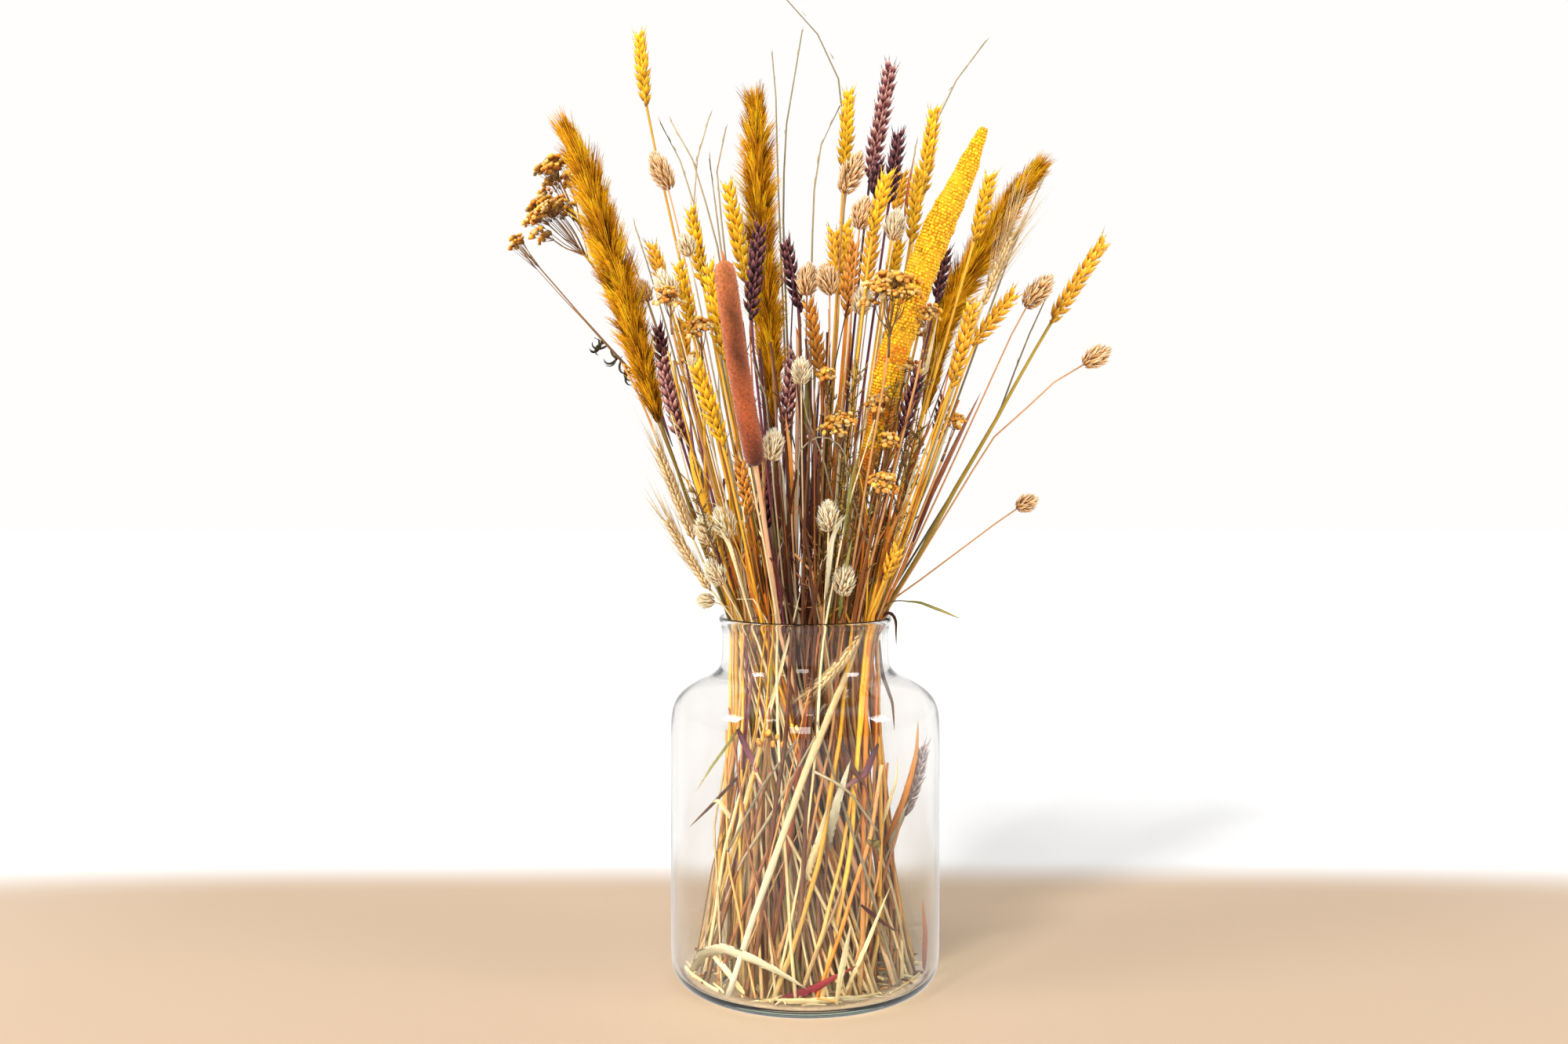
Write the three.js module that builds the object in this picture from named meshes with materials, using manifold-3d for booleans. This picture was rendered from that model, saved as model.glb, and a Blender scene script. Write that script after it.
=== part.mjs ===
// A clear glass vase with a loose dry bouquet: wheat, canary grass, reed plumes, a cattail,
// a millet spike, yarrow, barley and fine grasses. Millimetres, +Z up.
// The origin is the centre of the flat underside of the vase.
import * as THREE from 'three';
import { mergeVertices } from 'three/addons/utils/BufferGeometryUtils.js';
import Module from 'manifold-3d';

const wasm = await Module();
wasm.setup();

// ---- driving dimensions ----
const VASE_HEIGHT = 350;
const BODY_RADIUS = 130;
const FOOT_RADIUS = 118;
const NECK_RADIUS = 80.5;
const LIP_RADIUS = 83.5;
const GLASS_WALL = 4;
const GLASS_FLOOR = 9;
const VASE_SIDES = 28;

const STEM_FOOT = GLASS_FLOOR + 0.35; // stems stand just clear of the glass floor
const STEM_RADIUS = 1.6;
const NECK_LEVEL = 320; // level at which the stems are laid out in the neck
const FAN_APEX = 150; // above the neck the stems fan out from a point at this level
const FAN_RISE = NECK_LEVEL - FAN_APEX;
const BUNDLE_RADIUS = 62; // widest ring of stems in the neck
const FOOT_SPREAD = 1.68; // stems spread this much wider on the floor than in the neck
const FOOT_TWIST = THREE.MathUtils.degToRad(80); // and are wound round each other by this much
const NECK_BLEND = 20; // height over which the two slopes run into each other
const LIP_LEVEL = 345;
// stems of one bunch run together below these levels, and are in their own place above them
const JOINS = { wheat: [45, 125], canary: [170, 250], grass: [130, 200], yarrow: [60, 190], leaf: [170, 250] };

// Places are given as seen from the front, on the plane through the axis, and then moved
// in depth along the line of sight from this eye.
const EYE = new THREE.Vector3(-20.5, -1348, 481);

// ---- small helpers ----
let seed = 11;
function random() {
  seed = (seed * 1664525 + 1013904223) % 4294967296;
  return seed / 4294967296;
}

function solid(geometry) {
  const g = geometry.index ? geometry.toNonIndexed() : geometry;
  g.deleteAttribute('normal');
  g.deleteAttribute('uv');
  const merged = mergeVertices(g, 1e-4);
  const index = merged.index.array;
  const kept = [];
  for (let i = 0; i < index.length; i += 3) {
    const [a, b, c] = [index[i], index[i + 1], index[i + 2]];
    if (a !== b && b !== c && c !== a) kept.push(a, b, c);
  }
  const position = merged.getAttribute('position');
  let volume = 0;
  const [p, q, r] = [new THREE.Vector3(), new THREE.Vector3(), new THREE.Vector3()];
  for (let i = 0; i < kept.length; i += 3) {
    p.fromBufferAttribute(position, kept[i]);
    q.fromBufferAttribute(position, kept[i + 1]);
    r.fromBufferAttribute(position, kept[i + 2]);
    volume += p.dot(q.cross(r));
  }
  if (volume < 0) kept.reverse();
  return new wasm.Manifold(new wasm.Mesh({
    numProp: 3,
    vertProperties: new Float32Array(position.array),
    triVerts: new Uint32Array(kept),
  }));
}

function fuse(pieces) {
  let level = pieces;
  while (level.length > 1) {
    const next = [];
    for (let i = 0; i < level.length; i += 2) {
      next.push(i + 1 < level.length ? level[i].add(level[i + 1]) : level[i]);
    }
    level = next;
  }
  return level[0];
}

function toGeometry(shape) {
  const mesh = shape.getMesh();
  const g = new THREE.BufferGeometry();
  g.setAttribute('position', new THREE.BufferAttribute(new Float32Array(mesh.vertProperties), 3));
  g.setIndex(new THREE.BufferAttribute(new Uint32Array(mesh.triVerts), 1));
  g.computeVertexNormals();
  return g;
}

// a turned shape about +Z from [radius, height] pairs
function turned(profile, sides, startAngle = 0) {
  const points = profile.map(([r, z]) => new THREE.Vector2(r, z));
  return new THREE.LatheGeometry(points, sides, startAngle).rotateX(Math.PI / 2);
}

// a kernel shape: pointed at both ends, widest part of the way up, unit length
const kernel = (sides, widest = 0.42) => turned([[0, 0], [0.5, widest], [0, 1]], sides);

// a polyline whose stations are kept exactly when it is swept
class Route extends THREE.Curve {
  constructor(points) {
    super();
    this.points = points;
  }

  getPoint(t, target = new THREE.Vector3()) {
    const n = this.points.length - 1;
    const i = Math.min(Math.floor(t * n + 1e-9), n - 1);
    return target.copy(this.points[i]).lerp(this.points[i + 1], t * n - i);
  }

  getPointAt(u, target) {
    return this.getPoint(u, target);
  }

  getTangentAt(u, target) {
    return this.getTangent(u, target);
  }
}

function swept(points, halfWidth, halfThick = halfWidth, sides = 3) {
  const outline = new THREE.Shape();
  for (let i = 0; i < sides; i++) {
    const a = (2 * Math.PI * i) / sides + 0.4;
    const [x, y] = [halfWidth * Math.cos(a), halfThick * Math.sin(a)];
    if (i) outline.lineTo(x, y);
    else outline.moveTo(x, y);
  }
  outline.closePath();
  const extrudePath = new Route(points);
  return new THREE.ExtrudeGeometry(outline, { steps: points.length - 1, extrudePath });
}

// carries a shape built along +Z onto a curve of the given length
function along(geometry, curve, length) {
  const p = geometry.getAttribute('position');
  const across = new THREE.Vector3();
  const back = new THREE.Vector3();
  for (let i = 0; i < p.count; i++) {
    const z = p.getZ(i);
    const u = THREE.MathUtils.clamp(z / length, 0, 1);
    const point = curve.getPointAt(u);
    const tangent = curve.getTangentAt(u);
    across.set(0, 1, 0).cross(tangent).normalize();
    back.copy(tangent).cross(across);
    point.addScaledVector(tangent, z - u * length);
    point.addScaledVector(across, p.getX(i)).addScaledVector(back, p.getY(i));
    p.setXYZ(i, point.x, point.y, point.z);
  }
  return geometry;
}

// ---- where the stems run ----
// Every stem lies at m(z) times its place in the neck, with both taken as complex numbers, so
// no two of them meet: a straight winding fan below the neck and a straight fan above it.
const lowSlope = {
  x: (1 - FOOT_SPREAD * Math.cos(FOOT_TWIST)) / (NECK_LEVEL - STEM_FOOT),
  y: (-FOOT_SPREAD * Math.sin(FOOT_TWIST)) / (NECK_LEVEL - STEM_FOOT),
};
function fan(z) {
  const h = z - NECK_LEVEL;
  const blend = h > 200 ? h : NECK_BLEND * Math.log1p(Math.exp(h / NECK_BLEND));
  return {
    x: 1 + lowSlope.x * h + (1 / FAN_RISE - lowSlope.x) * blend,
    y: lowSlope.y * (h - blend),
  };
}
function inFan(neck, z) {
  const m = fan(z);
  return new THREE.Vector3(neck.x * m.x - neck.y * m.y, neck.x * m.y + neck.y * m.x, z);
}
function neckPlace(point) {
  const m = fan(point.z);
  const d = m.x * m.x + m.y * m.y;
  const neck = new THREE.Vector2(
    (point.x * m.x + point.y * m.y) / d,
    (point.y * m.x - point.x * m.y) / d,
  );
  return neck.length() > BUNDLE_RADIUS ? neck.setLength(BUNDLE_RADIUS) : neck;
}
function atDepth([x, z], depth) {
  const f = 1 + depth / -EYE.y;
  return new THREE.Vector3(EYE.x + (x - EYE.x) * f, depth, EYE.z + (z - EYE.z) * f);
}
function inRow(place, row) {
  let point = atDepth(place, 0);
  for (let i = 0; i < 7; i++) point = atDepth(place, (row * (point.z - FAN_APEX)) / FAN_RISE);
  return point;
}

// a plant: its head from base to tip, the row it stands in, and bends on the way up
function plant(row, head, bends = []) {
  const axis = head.map((place) => inRow(place, row));
  const base = axis[0];
  const neck = neckPlace(base);
  const lift = 0.62 * (neck.length() / BUNDLE_RADIUS);
  const stem = [STEM_FOOT + lift, 250, LIP_LEVEL].map((z) => inFan(neck, z));
  const last = stem[stem.length - 1];
  for (const bend of bends) {
    const f = (bend[1] - LIP_LEVEL) / (base.z - LIP_LEVEL);
    stem.push(atDepth(bend, last.y + (base.y - last.y) * f));
  }
  const curve = axis.length > 2 ? new THREE.CatmullRomCurve3(axis)
    : new THREE.LineCurve3(axis[0], axis[1]);
  return { neck, stem, axis, curve, length: curve.getLength() };
}

// the stem runs a little way into the head that it carries
function stemSolid(p, radius, leader, kind) {
  let points = [...p.stem, p.curve.getPointAt(Math.min(0.2, 8 / p.length))];
  if (leader) {
    const [low, high] = JOINS[kind];
    points = [inFan(leader.neck, low), inFan(p.neck, high), ...points.filter((v) => v.z > high + 8)];
  }
  return solid(swept(points, radius));
}

// ---- heads, built along +Z from 0 to their length ----
// an ear in two rows of spikelets, one row half a step above the other, each step flaring out
// to the points of its spikelet and falling back in above it
function ear(length, halfWide, halfDeep, pitch) {
  const tiers = Math.max(4, Math.round((0.9 * length) / pitch));
  const step = (0.9 * length) / tiers;
  const profile = [[0, -3]];
  for (let i = 0; i < tiers; i++) {
    const swell = 0.74 + 0.32 * Math.sin(Math.PI * (0.12 + (0.78 * i) / (tiers - 1)));
    profile.push([swell * (0.9 + 0.15 * random()), (i + 0.74) * step]);
    profile.push([0.56 * swell, (i + 1) * step]);
  }
  profile.push([0, length]);
  const g = turned(profile, 6).rotateZ(Math.PI / 6);
  const p = g.getAttribute('position');
  for (let i = 0; i < p.count; i++) {
    const [x, y] = [p.getX(i), p.getY(i)];
    const r = Math.hypot(x, y);
    if (r > 0.01) p.setZ(i, p.getZ(i) + 0.25 * step * (1 - x / r));
    p.setXY(i, x * halfWide, y * halfDeep);
  }
  return g;
}

function wheatEar(length) {
  const size = 0.8 + length / 380;
  return [ear(length, 7.4 * size, 5.4 * size, 14)];
}

// a smooth barrel raised into rows of scales, every second point out and the others in
function scaled(profile, sides, raise) {
  const g = turned(profile.map(([r, z]) => [r, z]), sides);
  const p = g.getAttribute('position');
  const rings = profile.length;
  for (let i = 0; i < p.count; i++) {
    const ring = i % rings;
    const segment = Math.floor(i / rings);
    if (ring === 0 || ring === rings - 1) continue;
    const out = (ring + segment) % 2 ? 1 + raise : 1 - raise;
    p.setX(i, p.getX(i) * out);
    p.setY(i, p.getY(i) * out);
  }
  return g;
}

function canaryHead(length, radius) {
  const profile = [[0, -1.5]];
  for (let i = 0; i <= 4; i++) {
    const t = i / 4;
    const r = radius * (0.34 + 0.7 * Math.sin(Math.PI * (0.08 + 0.78 * t)) ** 0.8);
    profile.push([r, length * (0.02 + 0.88 * t)]);
  }
  profile.push([0, length]);
  return [scaled(profile, 6, 0.15)];
}

function milletSpike(length) {
  const widths = [4.5, 9, 11.5, 13.5, 14.5, 14.5, 14.5, 14, 12.5, 9.5, 4];
  const profile = [[0, -2]];
  const rings = 21;
  for (let i = 0; i < rings; i++) {
    const t = (i / (rings - 1)) * (widths.length - 1);
    const k = Math.min(Math.floor(t), widths.length - 2);
    profile.push([widths[k] + (widths[k + 1] - widths[k]) * (t - k), (length - 4) * (i / (rings - 1))]);
  }
  profile.push([0, length]);
  return [scaled(profile, 10, 0.08)];
}

function cattailHead(length) {
  const profile = [[0, -1], [5, 0], [8.4, 5], [9.3, 24], [9.5, 100], [9, length - 22], [6.6, length - 12],
    [1.4, length - 9], [0, length]];
  return [turned(profile, 8)];
}

function plumeHead(length, widths, tufts) {
  const bits = [turned([[0, -3], [2.2, 0], [5, length * 0.3], [4.2, length * 0.7], [0, length * 0.97]], 4)];
  for (let i = 0; i < tufts; i++) {
    const t = (i + 0.4) / tufts;
    const k = t * (widths.length - 1);
    const j = Math.min(Math.floor(k), widths.length - 2);
    const half = (widths[j] + (widths[j + 1] - widths[j]) * (k - j)) / 2;
    const tall = 30 + 22 * Math.sin(Math.PI * (0.15 + 0.6 * t));
    const out = Math.min(Math.atan2(half, tall), 0.62);
    const g = kernel(3, 0.5).scale(9 + 4 * random(), 6, tall);
    g.rotateY(out * (0.8 + 0.3 * random())).rotateZ(2.39996 * i).translate(0, 0, t * (length - tall));
    bits.push(g);
  }
  return bits;
}

function barleyEar(length, awn, spread, awns) {
  const bits = [ear(length, 5.6, 4.2, 12)];
  for (let i = 0; i < awns; i++) {
    const side = i % 2 ? 1 : -1;
    const t = i / (awns - 1);
    const reach = awn * (0.75 + 0.25 * random());
    const bristle = turned([[0, 0], [0.9, 0.5], [0, reach]], 3);
    bristle.rotateX((random() - 0.5) * 0.24).rotateY(side * (0.05 + spread * (0.3 + 0.7 * random())));
    bits.push(bristle.translate(side * 1.2, 0, t * length * 0.8 + 5));
  }
  return bits;
}

// a flat-topped cluster of florets, each widening from the stalk to its place in the dome
function yarrowHead(length, width, height) {
  const florets = Math.max(4, Math.round((width * width) / 300));
  const bits = [turned([[0, -2], [1.6, 0], [1.3, length * 0.8], [0, length * 0.84]], 4)];
  for (let i = 0; i < florets; i++) {
    const far = Math.sqrt((i + 0.3) / florets);
    const r = (width / 2 - 4) * far;
    const top = length - height * 0.55 * far * far - 2.5 * random();
    const root = Math.max(1, length * 0.72 - height * 0.5);
    const lean = Math.atan2(r, top - root);
    const reach = Math.hypot(r, top - root);
    const size = 12 + 3 * random();
    const g = kernel(3, 0.84).scale(size, size, reach).rotateY(lean).rotateZ(2.39996 * i + 0.5);
    bits.push(g.translate(0, 0, root));
  }
  return bits;
}

// a pointed leaf or husk, flat across its middle
function leaf(length, width, rings = 4, thick = 1.1) {
  const profile = Array.from({ length: rings + 1 }, (_, i) => [0.5 * Math.sin((Math.PI * i) / rings) ** 0.7, i / rings]);
  profile[0][0] = 0;
  profile[rings][0] = 0;
  return turned(profile, 4).scale(width, thick, length);
}

// a bent grass stalk: a fine stem that carries a slim drooping tip with a few narrow spikelets
function grassHead(curve, length) {
  const count = Math.max(3, Math.round(length / 45));
  const points = Array.from({ length: count + 1 }, (_, i) => curve.getPointAt(i / count));
  return swept(points, 1.3);
}

// ---- the vase ----
function vase() {
  const inner = [BODY_RADIUS - GLASS_WALL, NECK_RADIUS - GLASS_WALL];
  return turned([
    [0, 0], [FOOT_RADIUS, 0], [126, 5], [BODY_RADIUS, 17], [BODY_RADIUS, 252], [128, 266], [117, 278.5],
    [98.5, 289], [85, 297], [NECK_RADIUS, 304], [NECK_RADIUS, 342], [LIP_RADIUS, 345.5],
    [LIP_RADIUS, 348.5], [81.5, VASE_HEIGHT], [79, VASE_HEIGHT], [inner[1], 346], [inner[1], 303],
    [81, 294.5], [96, 285.3], [114.5, 274.8], [124, 264.5], [inner[0], 252], [inner[0], 24],
    [122, 13], [112, GLASS_FLOOR], [0, GLASS_FLOOR],
  ], VASE_SIDES);
}

// ---- the bouquet ----
const COLOURS = {
  gold: 0xe0a010, plum: 0x5c2e30, cream: 0xdccfa4, tan: 0xc09a66, plume: 0xb07812, rust: 0xc2623a,
  millet: 0xf0b00a, yarrow: 0xa8661c, barley: 0xd8c08a, grass: 0x9a845e, olive: 0x77703a, red: 0xa8452e,
};

// Each line: node, kind, colour, then its plants as [row, [head base, ... , head tip], bends].
// A head's places are [x, z] as seen from the front.
const BOUQUET = [
  ['wheat_gold_01', 'wheat', 'gold', [21, [[-153, 839], [-159, 914]]], [12, [[-98, 667], [-111, 747]]]],
  ['wheat_gold_02', 'wheat', 'gold', [0, [[-133, 660], [-150, 714]]], [6, [[-111, 566], [-120, 642]]]],
  ['wheat_gold_03', 'wheat', 'gold', [-21, [[-78, 596], [-94, 695]]], [-15, [[-108, 619], [-123, 696]]]],
  ['wheat_gold_04', 'wheat', 'gold', [-45, [[-79, 514], [-108, 600]]], [-39, [[-54, 448], [-64, 507]]]],
  ['wheat_gold_05', 'wheat', 'gold', [9, [[-56, 666], [-76, 773]]]],
  ['wheat_gold_06', 'wheat', 'gold', [30, [[37, 776], [42, 859]]]],
  ['wheat_gold_07', 'wheat', 'gold', [21, [[112, 755], [125, 842]]], [24, [[86, 736], [95, 781]]]],
  ['wheat_gold_08', 'wheat', 'gold', [6, [[101, 708], [110, 785]]], [9, [[78, 663], [93, 717]]]],
  ['wheat_gold_09', 'wheat', 'gold', [-27, [[63, 716], [81, 782]]], [-15, [[58, 663], [66, 728]]]],
  ['wheat_gold_10', 'wheat', 'gold', [0, [[33, 660], [26, 728]]], [6, [[42, 653], [39, 735]]],
    [-6, [[39, 638], [48, 717]]]],
  ['wheat_gold_11', 'wheat', 'gold', [0, [[162, 710], [180, 780]]]],
  ['wheat_gold_12', 'wheat', 'gold', [9, [[236, 632], [291, 716]], [[104, 399], [146, 475], [180, 532], [207, 581]]]],
  ['wheat_gold_13', 'wheat', 'gold', [-15, [[161, 611], [206, 667]]]],
  ['wheat_gold_14', 'wheat', 'gold', [-36, [[141, 570], [164, 658]]], [-45, [[77, 385], [92, 422]]]],
  ['wheat_gold_15', 'wheat', 'gold', [-6, [[17, 573], [2, 660]]]],
  ['wheat_gold_16', 'wheat', 'gold', [-6, [[122, 680], [130, 729]]]],
  ['wheat_plum_01', 'wheat', 'plum', [30, [[61, 766], [83, 884]]]],
  ['wheat_plum_02', 'wheat', 'plum', [-3, [[80, 746], [91, 821]]], [9, [[66, 751], [71, 793]]]],
  ['wheat_plum_03', 'wheat', 'plum', [-30, [[-53, 635], [-43, 734]]], [-21, [[-36, 435], [-42, 499]]]],
  ['wheat_plum_04', 'wheat', 'plum', [0, [[-5, 642], [-21, 717]]]],
  ['wheat_plum_05', 'wheat', 'plum', [-18, [[-120, 519], [-141, 604]]]],
  ['wheat_plum_06', 'wheat', 'plum', [0, [[-134, 581], [-143, 635]]]],
  ['wheat_plum_07', 'wheat', 'plum', [-15, [[-20, 526], [-10, 611]]]],
  ['wheat_plum_08', 'wheat', 'plum', [-12, [[126, 651], [136, 712]]]],
  ['wheat_plum_09', 'wheat', 'plum', [-33, [[91, 519], [111, 592]]]],
  ['wheat_plum_10', 'wheat', 'plum', [27, [[126, 520], [136, 566]]]],
  ['canary_01', 'canary', 'tan', [9, [[-130, 760], [-148, 797]]], [12, [[-151, 652], [-163, 676]]]],
  ['canary_02', 'canary', 'cream', [-9, [[-104, 573], [-111, 602]]], [-9, [[-111, 696], [-118, 720]]],
    [-21, [[-127, 649], [-141, 685]]]],
  ['canary_03', 'canary', 'tan', [-15, [[1, 658], [4, 692]]], [-21, [[25, 659], [17, 691]]],
    [-12, [[37, 756], [54, 798]]], [-21, [[51, 722], [60, 755]]]],
  ['canary_04', 'canary', 'cream', [-15, [[84, 711], [89, 743]]], [-10, [[52, 640], [58, 670]]]],
  ['canary_05', 'canary', 'tan', [0, [[211, 648], [239, 679]]], [-9, [[204, 454], [226, 464]], [[82, 363]]],
    [-17, [[268, 592], [295, 609]], [[180, 520], [206, 543], [237, 573]]]],
  ['canary_06', 'canary', 'cream', [-45, [[-33, 500], [-29, 532]]]],
  ['canary_07', 'canary', 'cream', [-30, [[-4, 573], [-4, 601]]]],
  ['canary_08', 'canary', 'cream', [-33, [[-91, 418], [-101, 451]]], [-39, [[-73, 425], [-86, 457]]],
    [-42, [[-80, 380], [-96, 405]]]],
  ['canary_09', 'canary', 'cream', [-18, [[-88, 364], [-107, 365]], [[-72, 358]]]],
  ['canary_10', 'canary', 'cream', [-51, [[23, 431], [22, 463]]], [-54, [[36, 369], [40, 401]]]],
  ['plume_01', 'plume', 'plume', [-9, [[-142, 541], [-158, 597], [-172, 649], [-189, 701], [-204, 753],
    [-218, 794], [-239, 831]], [[-97, 411], [-103, 430], [-115, 464], [-129, 507]], [12, 24, 34, 38, 38, 36, 30, 22, 10]]],
  ['plume_02', 'plume', 'plume', [18, [[-33, 532], [-32, 589], [-36, 642], [-42, 702], [-45, 763], [-47, 816],
    [-50, 860]], [], [10, 20, 28, 34, 38, 38, 38, 30, 12]]],
  ['plume_03', 'plume', 'plume', [21, [[116, 551], [131, 628], [153, 673], [179, 713], [205, 758], [233, 791]],
    [], [8, 16, 26, 36, 36, 32, 26, 18, 8]]],
  ['cattail', 'cattail', 'rust', [-54, [[-48, 496], [-67, 604], [-80, 702]]]],
  ['millet_spike', 'millet', 'millet', [-24, [[57, 474], [62, 505], [70, 531], [79, 576], [89, 614], [101, 653],
    [117, 695], [130, 728], [149, 766], [172, 820]]]],
  ['yarrow_01', 'yarrow', 'yarrow', [21, [[-206, 704], [-222, 736], [-248, 790]], [], [46, 30]],
    [15, [[-172, 590], [-226, 650], [-284, 716]], [], [18, 12]]],
  ['yarrow_02', 'yarrow', 'yarrow', [-45, [[80, 600], [84, 684]], [], [50, 26]], [-39, [[112, 598], [121, 652]], [], [21, 14]],
    [-45, [[72, 470], [82, 528]], [], [18, 12]]],
  ['yarrow_03', 'yarrow', 'yarrow', [-30, [[-128, 622], [-134, 672]], [], [24, 20]]],
  ['yarrow_04', 'yarrow', 'yarrow', [-27, [[20, 556], [20, 590]], [], [16, 12]]],
  ['yarrow_05', 'yarrow', 'yarrow', [-27, [[132, 500], [149, 545]], [], [15, 10]]],
  ['barley_01', 'barley', 'barley', [6, [[-108, 422], [-145, 518]], [], [44, 0.2]]],
  ['barley_02', 'barley', 'barley', [-27, [[-92, 373], [-137, 448]], [[-76, 357]], [44, 0.22]]],
  ['barley_03', 'barley', 'barley', [3, [[170, 648], [199, 717]], [], [62, 0.2]]],
  ['grass_01', 'grass', 'grass', [30, [[-108, 751], [-120, 788], [-139, 823]]], [27, [[-84, 703], [-105, 782], [-129, 825]]],
    [36, [[-107, 748], [-104, 790], [-92, 829]]], [21, [[-78, 703], [-85, 776], [-76, 819]]],
    [15, [[-81, 703], [-92, 789]]]],
  ['grass_02', 'grass', 'grass', [33, [[-21, 725], [-20, 810], [-3, 911]]], [39, [[-27, 782], [-28, 843], [-32, 890]]]],
  ['grass_03', 'grass', 'grass', [18, [[-145, 667], [-164, 726]]], [24, [[-143, 631], [-178, 723]]]],
  ['grass_04', 'grass', 'grass', [12, [[201, 709], [230, 774]]], [24, [[183, 535], [211, 611], [231, 655]]]],
  ['grass_05', 'grass', 'grass', [30, [[126, 830], [133, 848], [173, 901]]], [15, [[98, 754], [106, 802]]]],
  ['grass_06', 'grass', 'grass', [39, [[39, 770], [36, 831], [29, 879], [-2, 928], [-20, 942]]],
    [24, [[6, 693], [8, 754], [14, 801], [33, 839]]]],
];
// bare stalks and leaves that grow with the first plants of these nodes
const STALKS = {
  canary_07: [[-21, [[-9, 346], [-8, 480], [-7, 626]]]],
  canary_10: [[-33, [[20, 360], [27, 417], [33, 510]]]],
};

const HEADS = {
  wheat: (p) => wheatEar(p.length),
  canary: (p) => canaryHead(p.length, Math.min(10, 4 + p.length * 0.17)),
  plume: (p) => plumeHead(p.length, p.form, 19),
  cattail: (p) => cattailHead(p.length),
  millet: (p) => milletSpike(p.length),
  yarrow: (p) => yarrowHead(p.length, ...p.form),
  barley: (p) => barleyEar(p.length, ...p.form, 7),
};

const bouquet = [];
for (const [name, kind, colour, ...members] of BOUQUET) {
  const plants = members.map(([row, head, bends, form]) => ({ ...plant(row, head, bends), form }));
  const pieces = [];
  plants.forEach((p, i) => {
    if (kind === 'grass') pieces.push(solid(grassHead(p.curve, p.length)));
    else for (const g of HEADS[kind](p)) pieces.push(solid(along(g, p.curve, p.length)));
    pieces.push(stemSolid(p, STEM_RADIUS, i ? plants[0] : undefined, kind));
  });
  for (const [row, head] of STALKS[name] ?? []) {
    const p = plant(row, head);
    pieces.push(solid(grassHead(p.curve, p.length)), stemSolid(p, STEM_RADIUS, plants[0], kind));
  }
  bouquet.push([name, colour, fuse(pieces)]);
}

// a dry leaf carried on a curve through the given points
function leafOn(points, width, rings = 5) {
  const curve = new THREE.CatmullRomCurve3(points);
  const length = curve.getLength();
  return solid(along(leaf(length, width, rings), curve, length));
}

// two curled leaves of one stalk at the right of the lip
const blade = plant(-21, [[101, 414], [121, 466], [139, 504], [155, 537], [169, 565]]);
const lipPoint = blade.stem[2];
const curled = [[80, 361], [88, 364], [111, 362], [133, 354], [150, 347]].map((v) => atDepth(v, lipPoint.y - 4));
bouquet.push(['leaf_blades', 'red', fuse([
  solid(along(leaf(blade.length, 9), blade.curve, blade.length)),
  stemSolid(blade, 1.3),
  leafOn([lipPoint.clone(), ...curled], 8),
])]);

// a feathery frond: leaflets all round its rib, without those that would meet another plant
const frond = plant(-35.5, [[45, 368], [88, 579]]);
const leaflets = [];
for (let i = 0; i < 28; i++) {
  const t = i / 28;
  const reach = 30 - 16 * t;
  const g = kernel(3, 0.35).scale(2.6, 1.6, reach).rotateY(0.75 + 0.25 * random()).rotateZ(2.39996 * i);
  const piece = solid(along(g.translate(0, 0, 6 + (frond.length - 20) * t), frond.curve, frond.length));
  if (bouquet.every(([, , other]) => piece.intersect(other).isEmpty())) leaflets.push(piece);
}
bouquet.push(['feathery_foliage', 'olive', fuse([
  solid(swept([...frond.stem, frond.curve.getPointAt(0.97)], 1.3)),
  ...leaflets,
])]);

// an upside-down ear caught between the stems and the neck
const fallen = new THREE.CatmullRomCurve3([
  new THREE.Vector3(50, -50, 338), new THREE.Vector3(31, -64, 312), new THREE.Vector3(5, -69.5, 285),
]);
bouquet.push(['barley_04', 'barley', fuse(
  barleyEar(fallen.getLength(), 36, 0.16, 6).map((g) => solid(along(g, fallen, fallen.getLength()))),
)]);

// loose leaves on the glass floor, between the feet of the stems and the wall
function floorLeaf(startDegrees, endDegrees, heights, radius, width) {
  const points = heights.map((z, i) => {
    const f = i / (heights.length - 1);
    const a = THREE.MathUtils.degToRad(startDegrees + (endDegrees - startDegrees) * f);
    return new THREE.Vector3(radius * Math.cos(a), radius * Math.sin(a), z);
  });
  return leafOn(points, width, 8);
}
bouquet.push(['leaf_litter', 'tan', fuse([
  floorLeaf(206, 268, [13, 30, 32, 24, 12.5], 110.5, 9),
  floorLeaf(246, 312, [12, 13.7, 14.4, 13.7, 12], 110.5, 10),
  floorLeaf(284, 291, [12.8, 40, 62, 84], 110.5, 7),
])]);

// ---- scene graph ----
const group = new THREE.Group();
group.name = 'vase_of_dried_flowers';
function addMesh(name, geometry, colour, roughness, metalness = 0) {
  const mesh = new THREE.Mesh(geometry, new THREE.MeshStandardMaterial({ color: colour, roughness, metalness }));
  mesh.name = name;
  group.add(mesh);
}
addMesh('vase', toGeometry(solid(vase())), 0xe8f0ec, 0.05);
for (const [name, colour, shape] of bouquet) addMesh(name, toGeometry(shape), COLOURS[colour], 0.85);

export default group;
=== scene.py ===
import math

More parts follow.
